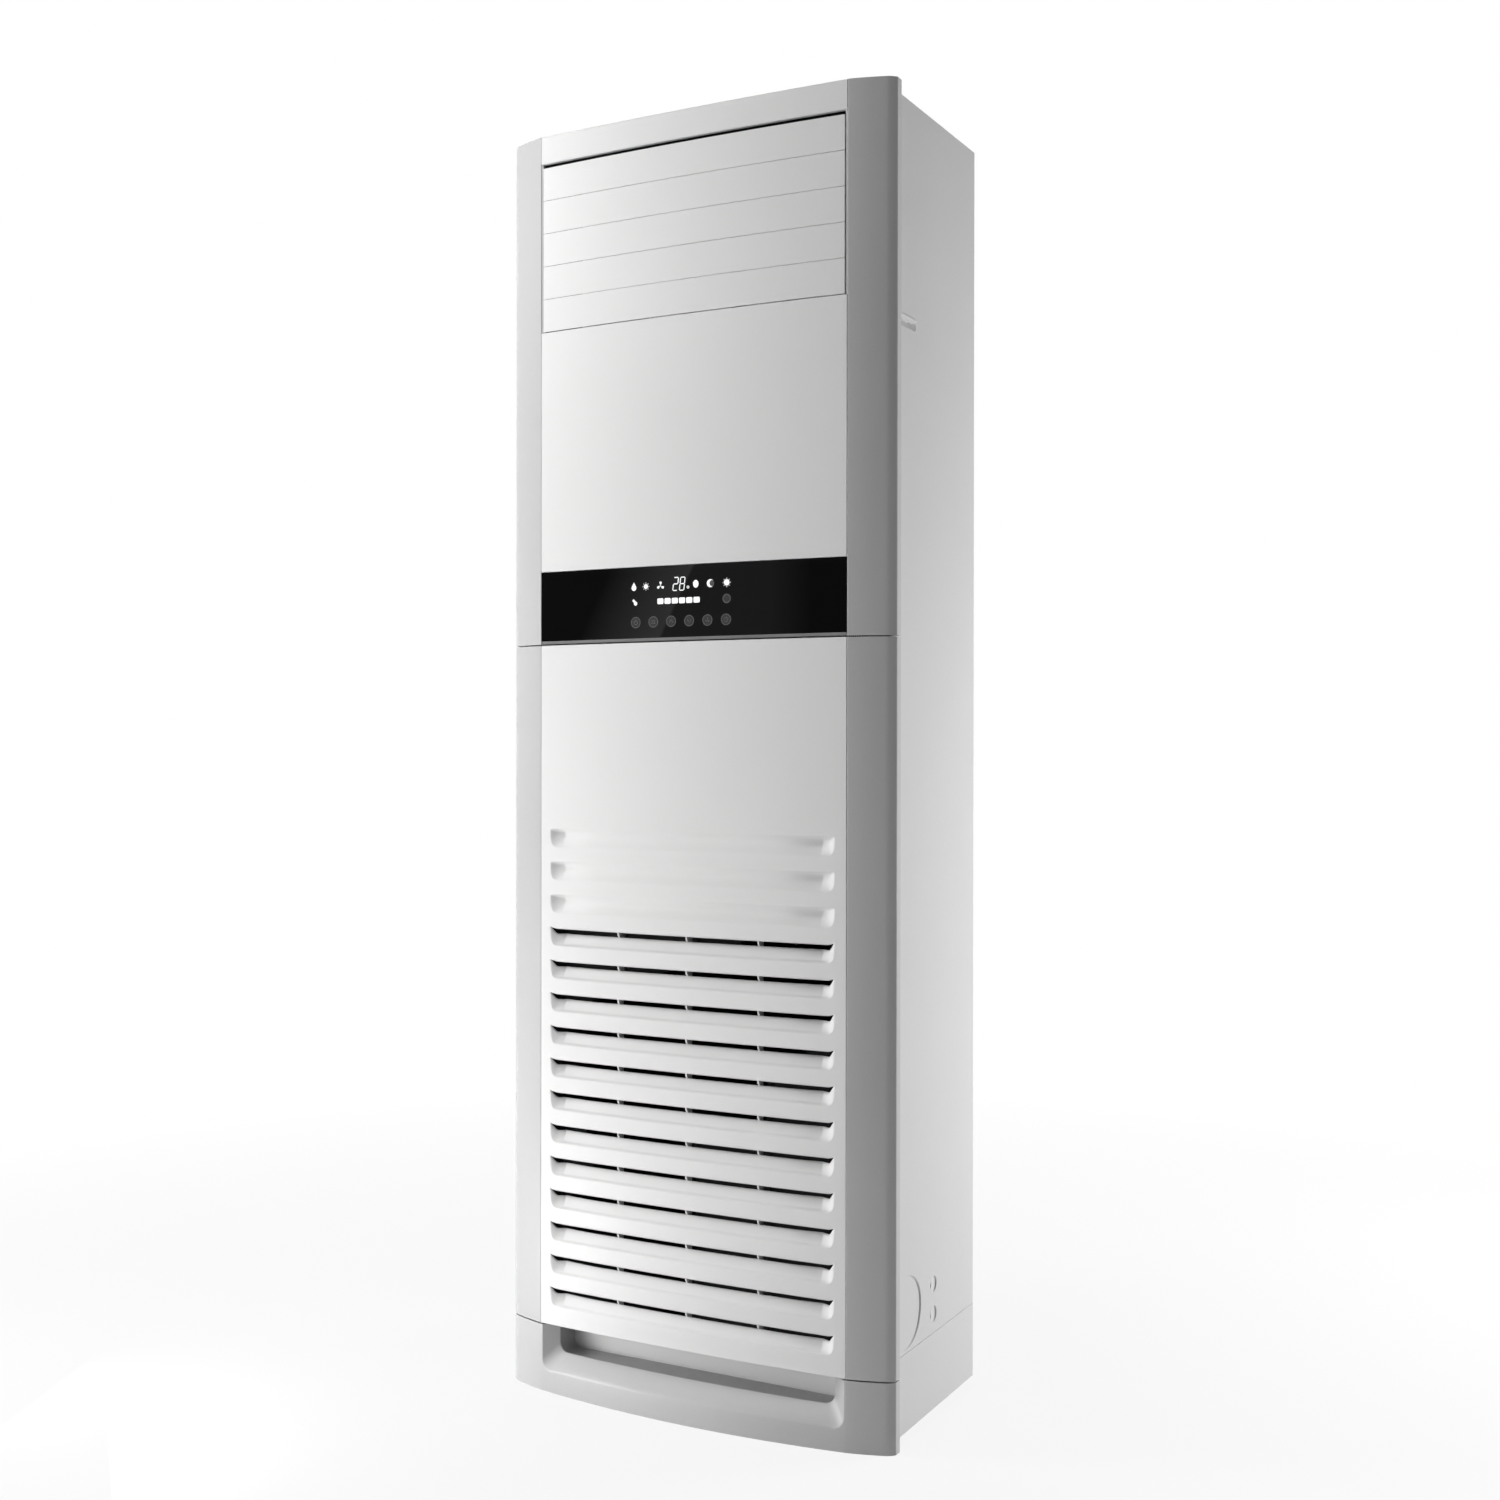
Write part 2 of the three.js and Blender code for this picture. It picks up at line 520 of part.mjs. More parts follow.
function sidePanel() {
  const back = CASE_D - SHEET - FIT;
  const plan = [[CASE_HALF, SIDE_FRONT_D], [CASE_HALF, back], [CASE_HALF - BACK_FLANGE, back],
    [CASE_HALF - BACK_FLANGE, back - SHEET], [CASE_HALF - SHEET, back - SHEET],
    [CASE_HALF - SHEET, SIDE_FRONT_D + SHEET], [CASE_HALF - CASE_FLANGE, SIDE_FRONT_D + SHEET],
    [CASE_HALF - CASE_FLANGE, SIDE_FRONT_D]].map(([x, d]) => [x, atDepth(d)]);
  const arcs = [PIPE_KNOCKOUT, ...CABLE_KNOCKOUTS]
    .flatMap((one) => knockoutArcs(one, CASE_HALF - 5, CASE_HALF + 1));
  return cut(alongZ(plan, PLINTH_TOP + FIT, CASE_TOP), gripSlot(), ...arcs);
}

function basePan() {
  const back = atDepth(CASE_D - SHEET - FIT);
  const front = atDepth(POCKET_D + 7);
  const inner = CASE_HALF - SHEET;
  const floor = box(-CASE_HALF, CASE_HALF, front, back, FOOT_H, FOOT_H + SHEET);
  const wall = (x0, x1, y0, y1) => box(x0, x1, y0, y1, FOOT_H, PLINTH_TOP);
  return join(floor,
    wall(inner, CASE_HALF, atDepth(SIDE_FRONT_D), back),
    wall(-CASE_HALF, -inner, atDepth(SIDE_FRONT_D), back),
    wall(-inner, inner, back - SHEET, back),
    wall(-inner, inner, front, front + SHEET));
}

function topCover() {
  const half = CASE_HALF - SHEET - FIT;
  const front = atDepth(FRAME_RETURN + FIT);
  const back = atDepth(CASE_D - 2 * SHEET - 2 * FIT);
  const plate = box(-half, half, front, back, CASE_TOP - SHEET, CASE_TOP);
  const skirt = cut(box(-half, half, front, back, CASE_TOP - TOP_SKIRT, CASE_TOP - SHEET / 2),
    box(-half + SHEET, half - SHEET, front + SHEET, back - SHEET, CASE_TOP - TOP_SKIRT - 1, CASE_TOP));
  const notch = box(-HALF_W, HALF_W, front - 1, atDepth(POST_BACK + 1), CASE_TOP - TOP_SKIRT - 1,
    CASE_TOP - SHEET);
  const upstand = box(-half, half, front, front + SHEET, CASE_TOP - SHEET / 2, BODY_H - MOULDING - FIT);
  return join(cut(skirt, notch), plate, upstand);
}

function frontPost() {
  const x1 = CASE_HALF - SHEET - FIT;
  const plan = [[POST_IN, POST_D], [x1, POST_D], [x1, POST_BACK], [x1 - SHEET, POST_BACK],
    [x1 - SHEET, POST_D + SHEET], [POST_IN + SHEET, POST_D + SHEET], [POST_IN + SHEET, POST_BACK],
    [POST_IN, POST_BACK]].map(([x, d]) => [x, atDepth(d)]);
  const foot = box(x1 - 20, x1, atDepth(POST_D), atDepth(POST_D + SHEET), PLINTH_TOP - 60, PLINTH_TOP + 20);
  return cut(join(alongZ(plan, PLINTH_TOP + 5, CASE_TOP - SHEET - FIT), foot), gripSlot());
}

const FOOT_INSET_X = 42;
const FOOT_DEPTHS = [85, CASE_D - 35];
const FOOT_R = 20;

add('base_pan', 'casing', basePan());
add('rear_panel', 'casing',
  box(-CASE_HALF + 1, CASE_HALF - 1, atDepth(CASE_D - SHEET), atDepth(CASE_D), FOOT_H + 2, CASE_TOP - 1));
add('top_cover', 'casing', topCover());
for (const [sideName, side] of SIDES) {
  add(`side_panel_${sideName}`, 'casing', mirrored(sidePanel(), side));
  add(`front_post_${sideName}`, 'zinc', mirrored(frontPost(), side));
  FOOT_DEPTHS.forEach((depth, i) => {
    const foot = alongZ(circle(side * (CASE_HALF - FOOT_INSET_X), atDepth(depth), FOOT_R, 20), 0, FOOT_H);
    add(`foot_${i === 0 ? 'front' : 'rear'}_${sideName}`, 'rubber', foot);
  });
}

// ---------------------------------------------------------------- filter and its rack
const RACK_Z = 112;
const FILTER_H = 566;
const FILTER_TRAVEL = 300;
const RACK_HALF = PANEL_HALF - 8.3;
const RACK_LIP = 12;           // the rack's channels lap the filter's edges by this
const RACK_D = [1, 13];
const RACK_WALL = 2;
const RACK_EAR = 31;
const RACK_STOP = 4;           // the channels run on past the filter's highest place

function filterRack() {
  const top = RACK_Z + RACK_WALL + FILTER_H + FILTER_TRAVEL + RACK_STOP;
  const [near, far] = RACK_D;
  const lip = RACK_HALF - RACK_LIP;
  const ear = RACK_HALF + RACK_EAR;
  const inner = RACK_HALF - RACK_WALL;
  const earD = POST_D - SHEET - FIT;
  const plan = [[lip, near], [RACK_HALF, near], [RACK_HALF, earD], [ear, earD], [ear, POST_D - FIT],
    [RACK_HALF - SHEET, POST_D - FIT], [RACK_HALF - SHEET, far], [lip, far],
    [lip, far - SHEET], [inner, far - SHEET], [inner, near + SHEET], [lip, near + SHEET]]
    .map(([x, d]) => [x, atDepth(d)]);
  const guide = alongZ(plan, RACK_Z, top);
  const sill = box(-RACK_HALF, RACK_HALF, atDepth(near), atDepth(far), RACK_Z, RACK_Z + RACK_WALL);
  return join(guide, mirrored(guide, -1), sill);
}

const FILTER_HALF = RACK_HALF - RACK_WALL - 1;
const FILTER_Z = RACK_Z + RACK_WALL + FIT;
const FILTER_D = [RACK_D[0] + SHEET + 1, RACK_D[1] - SHEET - 1];
const FILTER_RAIL = 12;
const FILTER_BAR = 5;
const FILTER_TAB = [35, 14];   // half width and height of the pull tab

function filterFrame() {
  const [y0, y1] = FILTER_D.map(atDepth);
  const outer = box(-FILTER_HALF, FILTER_HALF, y0, y1, FILTER_Z, FILTER_Z + FILTER_H);
  const inner = box(-FILTER_HALF + FILTER_RAIL, FILTER_HALF - FILTER_RAIL, y0 - 1, y1 + 1,
    FILTER_Z + FILTER_RAIL, FILTER_Z + FILTER_H - FILTER_RAIL);
  const bars = [-1, 0, 1].map((i) => {
    const x = (i * FILTER_HALF) / 2;
    return box(x - FILTER_BAR / 2, x + FILTER_BAR / 2, y0, y0 + 3, FILTER_Z + 1, FILTER_Z + FILTER_H - 1);
  });
  const rungs = [1, 2, 3].map((i) => {
    const z = FILTER_Z + (FILTER_H * i) / 4;
    return box(-FILTER_HALF + 1, FILTER_HALF - 1, y0, y0 + 3, z - FILTER_BAR / 2, z + FILTER_BAR / 2);
  });
  const filterTop = FILTER_Z + FILTER_H;
  const tab = box(-FILTER_TAB[0], FILTER_TAB[0], y0, y1, filterTop - 1, filterTop + FILTER_TAB[1]);
  return join(cut(outer, inner), ...bars, ...rungs, tab);
}

const filter = new THREE.Group();
unit.add(filter);
add('filter_rack', 'dark', filterRack());
add('filter_frame', 'dark', filterFrame(), filter);
add('filter_net', 'net', box(-FILTER_HALF + FILTER_RAIL + FIT, FILTER_HALF - FILTER_RAIL - FIT,
  atDepth(FILTER_D[0] + 3 + FIT), atDepth(FILTER_D[0] + 4.5), FILTER_Z + FILTER_RAIL + FIT,
  FILTER_Z + FILTER_H - FILTER_RAIL - FIT), filter);

// ---------------------------------------------------------------- air outlet: frame, blades, vanes
const OUTLET_IN = PANEL_HALF + 0.5;
const OUTLET_WALL = 4;
const HOOD_WALL = 5;
const OUTLET_Z = [LOUVRE_Z - 2.5, HEADER_Z + 2.4];
const OUTLET_D = [STILE_INNER_D + 0.5, 86.7];
const BLADE_PIVOT_D = -8;
const BLADE_T = 2.2;
const BLADE_GAP = 1.2;
const BLADE_HALF = PANEL_HALF - 3.3;
const PIVOT_R = 2.5;
const TIE_OFFSET = 14;         // tie bar's pins lie this far behind the blade pivots
const TIE_PIN_R = 2;
const TIE_HALF = 3;            // half width of the tie bar, which passes behind the blade pivots
const LINK_PIN_R = 1.5;
const PIN_SIDES = 8;
const VANES = 6;
const VANE_PIVOT_D = 52;
const VANE_CHORD = 44;
const VANE_T = 2;
const LINK_OFFSET = 18;
const LINK_Z = 18;             // height of the vane link above the outlet's floor

const bladeZ = (i) => LOUVRE_Z + BLADE_PITCH * (i + 0.5);
const vaneX = (i) => ((2 * PANEL_HALF) / VANES) * (i - (VANES - 1) / 2);

function outletFrame() {
  const [z0, z1] = OUTLET_Z;
  const [y0, y1] = OUTLET_D.map(atDepth);
  const half = OUTLET_IN + OUTLET_WALL;
  const ring = cut(box(-half, half, y0, y1, z0 - OUTLET_WALL, z1 + OUTLET_WALL),
    box(-OUTLET_IN, OUTLET_IN, y0 - 1, y1 + 1, z0, z1));
  const ear = (side) => mirrored(box(half - 1, half + 17, atDepth(POST_D - FIT - 2), atDepth(POST_D - FIT),
    z0, z1), side);
  const bladeHoles = Array.from({ length: BLADES }, (_, i) =>
    alongX(circle(atDepth(BLADE_PIVOT_D), bladeZ(i), PIVOT_R + FIT, PIN_SIDES), -HALF_W, HALF_W));
  const vaneHoles = Array.from({ length: VANES }, (_, i) =>
    alongZ(circle(vaneX(i), atDepth(VANE_PIVOT_D), PIVOT_R + FIT, PIN_SIDES), z0 - 10, z1 + 10));
  return cut(join(ring, ear(1), ear(-1)), ...bladeHoles, ...vaneHoles);
}

/** Foam hood in (y, z): open below towards the coil and in front towards the vanes. */
function hoodProfile(wall) {
  const front = atDepth(OUTLET_D[1] + FIT);
  const back = atDepth(CASE_D - 12) + wall;
  const roof = OUTLET_Z[1] + wall;
  const floor = LOUVRE_Z - 32;
  const bend = Math.min(120, (back - front) / 2);
  return [[front - (wall ? 0 : 1), roof], [front - (wall ? 0 : 1), wall ? floor : OUTLET_Z[0]],
    ...(wall ? [] : [[front + HOOD_WALL, OUTLET_Z[0]], [front + HOOD_WALL, floor - 1]]),
    [back, wall ? floor : floor - 1], ...arc(back - bend, roof - bend, bend, 0, Math.PI / 2, 5)];
}

function ductHood() {
  const half = OUTLET_IN + 3;
  return cut(alongX(hoodProfile(HOOD_WALL), -half - HOOD_WALL, half + HOOD_WALL),
    alongX(hoodProfile(0), -half, half));
}

function blade(i) {
  const z = bladeZ(i);
  const reach = (BLADE_PITCH - BLADE_GAP) / 2;
  const skin = bowedBar([[0, z - reach], [0, z + reach], [BLADE_T - 1, z + reach], [BLADE_T, z + reach - 5],
    [BLADE_T, z - reach + 5], [BLADE_T - 1, z - reach]], -BLADE_HALF, BLADE_HALF, PANEL_BOW);
  const front = bowDepth(BLADE_HALF, PANEL_BOW) + 1;
  const ear = (back) => alongX([[front, z - 7], [front, z + 7], [back, z + 4], [back, z - 4]]
    .map(([depth, v]) => [atDepth(depth), v]), BLADE_HALF - 3, BLADE_HALF);
  const pin = (depth, radius, end) =>
    alongX(circle(atDepth(depth), z, radius, PIN_SIDES), BLADE_HALF - 1, end);
  const pivot = (side, back) => mirrored(join(ear(back), pin(BLADE_PIVOT_D, PIVOT_R, OUTLET_IN + 3.2)), side);
  const tieD = BLADE_PIVOT_D + TIE_OFFSET;
  return join(skin, pivot(1, tieD + 4), pin(tieD, TIE_PIN_R, OUTLET_IN - 0.6), pivot(-1, BLADE_PIVOT_D + 3));
}

function tieBar() {
  const y = atDepth(BLADE_PIVOT_D + TIE_OFFSET);
  const strip = alongX(rectangle(y - TIE_HALF, y + TIE_HALF, bladeZ(0) - 6, bladeZ(BLADES - 1) + 6),
    BLADE_HALF + 0.4, OUTLET_IN - 1.2);
  const holes = Array.from({ length: BLADES }, (_, i) =>
    alongX(circle(y, bladeZ(i), TIE_PIN_R + FIT, PIN_SIDES), BLADE_HALF, OUTLET_IN));
  return cut(strip, ...holes);
}

function vane(i) {
  const x = vaneX(i);
  const [z0, z1] = OUTLET_Z;
  const y = atDepth(VANE_PIVOT_D);
  const plate = [[x - VANE_T / 2, y - VANE_CHORD / 2], [x + VANE_T / 2, y - VANE_CHORD / 2],
    [x + VANE_T / 2, y + VANE_CHORD / 2], [x - VANE_T / 2, y + VANE_CHORD / 2]];
  const stub = (a, b) => alongZ(circle(x, y, PIVOT_R, PIN_SIDES), a, b);
  const linkZ = z0 + LINK_Z;
  const notch = box(x - 5, x + 5, y + LINK_OFFSET - 9, y + VANE_CHORD, linkZ - 5, linkZ + 5);
  const pin = alongZ(circle(x, y + LINK_OFFSET, LINK_PIN_R, PIN_SIDES), linkZ - 6, linkZ + 6);
  const body = cut(alongZ(plate, z0 + 1, z1 - 1), notch);
  return join(body, pin, stub(z0 - 3.2, z0 + 8), stub(z1 - 8, z1 + 3.2));
}

function vaneLink() {
  const y = atDepth(VANE_PIVOT_D + LINK_OFFSET);
  const z = OUTLET_Z[0] + LINK_Z;
  const strip = box(vaneX(0) - 7, vaneX(VANES - 1) + 7, y - 4, y + 4, z - 1.5, z + 1.5);
  const holes = Array.from({ length: VANES }, (_, i) =>
    alongZ(circle(vaneX(i), y, LINK_PIN_R + FIT, PIN_SIDES), z - 3, z + 3));
  return cut(strip, ...holes);
}

add('outlet_frame', 'dark', outletFrame());
add('duct_hood', 'foam', ductHood());
for (let i = 0; i < BLADES; i += 1) add(`louvre_blade_${i + 1}`, 'white', blade(i));
add('louvre_tie_bar', 'vane', tieBar());
for (let i = 0; i < VANES; i += 1) add(`vane_${i + 1}`, 'vane', vane(i));
add('vane_link', 'vane', vaneLink());

const STEPPER_R = 14;
const STEPPER_L = 18;
const outletSide = OUTLET_IN + OUTLET_WALL;
add('louvre_motor', 'zinc', alongX(circle(atDepth(POST_BACK + 24), bladeZ(2), STEPPER_R, 16),
  outletSide, outletSide + STEPPER_L));
add('vane_motor', 'zinc', alongZ(circle(vaneX(0) + 40, atDepth(VANE_PIVOT_D), STEPPER_R, 16),
  OUTLET_Z[0] - OUTLET_WALL - STEPPER_L, OUTLET_Z[0] - OUTLET_WALL));

// ---------------------------------------------------------------- blower
const DECK_Z = 800;
const FAN_Z = 400;
const FAN_R = 160;
const FAN_SHIFT = -22;         // the scroll grows to the right, so the fan sits left of centre
const FAN_GAP = 12;            // between the wheel and the scroll where it starts
const SCROLL_START = FAN_R + FAN_GAP;
const SCROLL_GROWTH = 88;      // per turn
const TONGUE = Math.PI / 3;
const SCROLL_FRONT_D = 78;
const MOTOR_L = 76;
const MOTOR_R = 62;
const BRACKET_T = 5.4;
const MOTOR_BACK_D = CASE_D - 18;
const BRACKET_D = MOTOR_BACK_D - MOTOR_L - FIT - BRACKET_T;
const SCROLL_BACK_D = BRACKET_D - FIT;
const SCROLL_WALL = 2;
const SHAFT_R = 6;
const RUN = 0.4;               // radial running clearance of the shaft
const WHEEL_RING = 30;         // width of the wheel's front ring
const INLET_R = FAN_R - WHEEL_RING + 2;
const HUB_R = 20;
const HUB_L = 36;
const BLADE_HALF_ANGLE = 0.012;

/** Scroll outline in (x, z), grown by a wall. */
function scrollOutline(grow) {
  const steps = 20;
  const turn = 2 * Math.PI - TONGUE;
  const spiral = Array.from({ length: steps + 1 }, (_, i) => {
    const swept = (turn * i) / steps;
    const radius = SCROLL_START + (SCROLL_GROWTH * swept) / (2 * Math.PI) + grow;
    return [FAN_SHIFT + radius * Math.cos(TONGUE + swept), FAN_Z + radius * Math.sin(TONGUE + swept)];
  });
  const top = DECK_Z - FIT;
  return [[FAN_SHIFT - 50 - grow, top], ...spiral, [spiral[steps][0], top]];
}

function fanScroll() {
  const y0 = atDepth(SCROLL_FRONT_D + SCROLL_WALL + FIT);
  const y1 = atDepth(SCROLL_BACK_D);
  const inside = scrollOutline(0);
  inside[0] = [inside[0][0], DECK_Z + 5];
  inside[inside.length - 1] = [inside[inside.length - 1][0], DECK_Z + 5];
  const shell = cut(alongY(scrollOutline(SCROLL_WALL), y0, y1), alongY(inside, y0 - 1, y1 - SCROLL_WALL));
  return cut(shell, alongY(circle(FAN_SHIFT, FAN_Z, 30, 16), y1 - 5, y1 + 1));
}

function scrollFront() {
  const y0 = atDepth(SCROLL_FRONT_D);
  const plate = alongY(scrollOutline(SCROLL_WALL), y0, y0 + SCROLL_WALL);
  const ring = alongY(circle(FAN_SHIFT, FAN_Z, INLET_R + 8, 24), y0 - 8, y0 + SCROLL_WALL);
  const bore = alongY(circle(FAN_SHIFT, FAN_Z, INLET_R, 24), y0 - 9, y0 + SCROLL_WALL + 1);
  return cut(join(plate, ring), bore);
}

const WHEEL_D = [SCROLL_FRONT_D + 12, SCROLL_BACK_D - 12];
const FAN_BLADES = 20;

function fanWheel() {
  const [y0, y1] = WHEEL_D.map(atDepth);
  const backPlate = alongY(circle(FAN_SHIFT, FAN_Z, FAN_R, FAN_BLADES), y1 - 3, y1);
  const hub = alongY(circle(FAN_SHIFT, FAN_Z, HUB_R, 16), y1 - HUB_L, y1);
  const ring = cut(alongY(circle(FAN_SHIFT, FAN_Z, FAN_R, FAN_BLADES), y0, y0 + 3),
    alongY(circle(FAN_SHIFT, FAN_Z, FAN_R - WHEEL_RING, FAN_BLADES), y0 - 1, y0 + 4));
  const blades = Array.from({ length: FAN_BLADES }, (_, i) => {
    const angle = (2 * Math.PI * (i + 0.5)) / FAN_BLADES;
    const at = (radius, lead) => [FAN_SHIFT + radius * Math.cos(angle + lead),
      FAN_Z + radius * Math.sin(angle + lead)];
    const curve = [[FAN_R - WHEEL_RING + 1, 0], [FAN_R - WHEEL_RING / 2, 0.02], [FAN_R - 2, 0.1]];
    const outline = [...curve.map(([r, lead]) => at(r, lead - BLADE_HALF_ANGLE)),
      ...curve.map(([r, lead]) => at(r, lead + BLADE_HALF_ANGLE)).reverse()];
    return alongY(outline, y0 + 1, y1 - 1);
  });
  const bore = alongY(circle(FAN_SHIFT, FAN_Z, SHAFT_R + 0.1, 16), y1 - HUB_L - 1, y1 + 1);
  return cut(join(backPlate, hub, ring, ...blades), bore);
}

function fanShaft() {
  const wheelBack = atDepth(WHEEL_D[1]);
  const rodEnd = atDepth(BRACKET_D + BRACKET_T + 20);
  const rod = alongY(circle(FAN_SHIFT, FAN_Z, SHAFT_R, 16), wheelBack - 48, rodEnd);
  const nut = alongY(circle(FAN_SHIFT, FAN_Z, 11, 6), wheelBack - 45, wheelBack - 36 - FIT);
  return join(rod, nut);
}

function fanMotor() {
  const y0 = atDepth(BRACKET_D + BRACKET_T + FIT);
  const y1 = atDepth(MOTOR_BACK_D);
  const can = alongY(circle(FAN_SHIFT, FAN_Z, MOTOR_R, 24), y0, y1 - 8);
  const cap = alongY(circle(FAN_SHIFT, FAN_Z, MOTOR_R * 0.6, 16), y1 - 9, y1);
  const bore = alongY(circle(FAN_SHIFT, FAN_Z, SHAFT_R + RUN, 16), y0 - 1, y0 + 24);
  return cut(join(can, cap), bore);
}

function motorBracket() {
  const y0 = atDepth(BRACKET_D);
  const arm = (u, v) => box(FAN_SHIFT - u, FAN_SHIFT + u, y0, y0 + BRACKET_T, FAN_Z - v, FAN_Z + v);
  return cut(join(arm(95, 18), arm(18, 95)),
    alongY(circle(FAN_SHIFT, FAN_Z, SHAFT_R + 3, 16), y0 - 1, y0 + BRACKET_T + 1));
}

// ---------------------------------------------------------------- coil, drain pan and pipes
const PAN_H = 34;
const PAN_HALF = CASE_HALF - 30;
const PAN_WALL = 2;
const PAN_Z = DECK_Z + SHEET + FIT;
const COIL_T = 38;
const COIL_FOOT_D = 76;
const COIL_HEAD_D = CASE_D - 50;
const COIL_HALF = CASE_HALF - 62;
const COIL_HEAD_Z = LOUVRE_Z - 60;
const COIL_SLOTS = 11;         // grooves on each side between the groups of fins
const COIL_SPINE = 6;
const END_T = 1.5;
const END_RIM = 6;
const BENDS = 6;
const BEND_R = 4;
const BEND_REACH = 9;          // how far the return bends stand out of the end plates
const HOSE_X = -(CASE_HALF - 25);
const HOSE_D = 60;
const HOSE_R = 11;
const HOSE_WALL = 2;
const SPIGOT_R = 8;
const PIPE_X = CASE_HALF - 24;
const GAS = { radius: 8, share: (BENDS - 1) / BENDS };
const LIQUID = { radius: 4.8, share: 0.985 };
const PIPE_END_Z = 190;

const COIL_TILT = Math.atan2(COIL_HEAD_D - COIL_FOOT_D, COIL_HEAD_Z - PAN_Z);
const COIL_FOOT_Z = PAN_Z + PAN_WALL + FIT + END_RIM * Math.cos(COIL_TILT)
  + (COIL_T / 2 + END_RIM) * Math.sin(COIL_TILT);
const COIL_L = (COIL_HEAD_Z - COIL_FOOT_Z) / Math.cos(COIL_TILT);

// The pan's walls stand clear of the end plates' faces at the height of its rim.
const PAN_CLEAR = 2.8;
const PLATE_REACH = (COIL_T / 2 + END_RIM) / Math.cos(COIL_TILT);
const PAN_FRONT_D = 44;
const PAN_BACK_D = COIL_FOOT_D + PLATE_REACH + (PAN_Z + PAN_H - COIL_FOOT_Z) * Math.tan(COIL_TILT)
  + PAN_CLEAR + PAN_WALL;
const PAN_D = [PAN_FRONT_D, PAN_BACK_D];

/** Point in (depth, z) at a run along the coil and a distance off its middle plane. */
function coilPoint(run, off = 0) {
  return [COIL_FOOT_D + run * Math.sin(COIL_TILT) + off * Math.cos(COIL_TILT),
    COIL_FOOT_Z + run * Math.cos(COIL_TILT) - off * Math.sin(COIL_TILT)];
}

/** Slanted rectangle in (y, z) between two runs and two distances off the middle plane. */
function coilSlab(run0, run1, off0, off1) {
  return [[run0, off0], [run0, off1], [run1, off1], [run1, off0]]
    .map(([run, off]) => coilPoint(run, off)).map(([d, z]) => [atDepth(d), z]);
}

function coilFins() {
  const block = alongX(coilSlab(0, COIL_L, -COIL_T / 2, COIL_T / 2), -COIL_HALF, COIL_HALF);
  const pitch = (2 * COIL_HALF) / COIL_SLOTS;
  const grooves = Array.from({ length: COIL_SLOTS }, (_, i) => {
    const x = -COIL_HALF + pitch * (i + 0.5);
    return [-1, 1].map((side) => {
      const offs = [COIL_SPINE / 2, COIL_T].map((off) => off * side).sort((a, b) => a - b);
      return alongX(coilSlab(-1, COIL_L + 1, ...offs), x - pitch * 0.3, x + pitch * 0.3);
    });
  });
  return cut(block, ...grooves.flat());
}

function coilEnd() {
  const x0 = COIL_HALF + FIT;
  const rim = COIL_T / 2 + END_RIM;
  const plate = alongX(coilSlab(-END_RIM, COIL_L + END_RIM, -rim, rim), x0, x0 + END_T);
  const out = x0 + END_T + BEND_REACH;
  const bends = Array.from({ length: BENDS }, (_, i) => {
    const at = (x, part) => {
      const [d, z] = coilPoint((COIL_L * (i + part)) / BENDS);
      return [x, atDepth(d), z];
    };
    const route = [at(x0 + 0.5, 0.35), at(out - 4, 0.35), at(out, 0.5), at(out - 4, 0.65),
      at(x0 + 0.5, 0.65)];
    return tube(route, BEND_R, 0, 6, 5);
  });
  return join(plate, ...bends);
}

function drainPan() {
  const [y0, y1] = PAN_D.map(atDepth);
  const z0 = PAN_Z;
  const inner = PAN_HALF - PAN_WALL;
  const tray = cut(box(-PAN_HALF, PAN_HALF, y0, y1, z0, z0 + PAN_H),
    box(-inner, inner, y0 + PAN_WALL, y1 - PAN_WALL, z0 + PAN_WALL, z0 + PAN_H + 1));
  const lip = box(HOSE_X - 12, -inner, atDepth(HOSE_D) - 12, atDepth(HOSE_D) + 12, z0, z0 + 10);
  const spout = alongZ(circle(HOSE_X, atDepth(HOSE_D), SPIGOT_R, 10), z0 - 26, z0 + 5);
  const drop = alongZ(circle(HOSE_X, atDepth(HOSE_D), SPIGOT_R - 2, 10), z0 - 27, z0 + 8);
  const run = box(HOSE_X - 6, -inner + 1, atDepth(HOSE_D) - 5, atDepth(HOSE_D) + 5, z0 + PAN_WALL, z0 + 8);
  return cut(join(tray, lip, spout), drop, run);
}

function drainHose() {
  const y = atDepth(HOSE_D);
  const top = DECK_Z - 6;
  const heights = [top, top - 30, PIPE_END_Z - 20, PIPE_END_Z - 60];
  return tube(heights.map((z) => [HOSE_X, y, z]), HOSE_R, HOSE_R - HOSE_WALL, 8, 6);
}

function pipe({ radius, share }) {
  const [depth, z] = coilPoint(COIL_L * share);
  const y = atDepth(depth);
  const start = COIL_HALF + FIT + END_T + FIT;
  const bend = PIPE_X - start;
  return tube([[start, y, z], [start + bend * 0.6, y, z], [PIPE_X - bend * 0.06, y, z - bend * 0.4],
    [PIPE_X, y, z - bend * 1.2], [PIPE_X, y, (z + PIPE_END_Z) / 2], [PIPE_X, y, PIPE_END_Z]],
  radius, 0, 8, 14);
}

function blowerDeck() {
  const half = CASE_HALF - SHEET - FIT;
  const deck = box(-half, half, atDepth(POST_BACK + 1), atDepth(CASE_D - 2 * SHEET - 2 * FIT), DECK_Z,
    DECK_Z + SHEET);
  const outline = scrollOutline(0);
  const air = box(outline[0][0], outline[outline.length - 1][0], atDepth(SCROLL_FRONT_D + SCROLL_WALL + FIT),
    atDepth(SCROLL_BACK_D - SCROLL_WALL), DECK_Z - 1, DECK_Z + 5);
  const hole = (x, depth, radius) =>
    alongZ(circle(x, atDepth(depth), radius + 3, 12), DECK_Z - 1, DECK_Z + 5);
  return cut(deck, air, hole(HOSE_X, HOSE_D, HOSE_R), ...[GAS, LIQUID].map(({ radius, share }) =>
    hole(PIPE_X, coilPoint(COIL_L * share)[0], radius)));
}

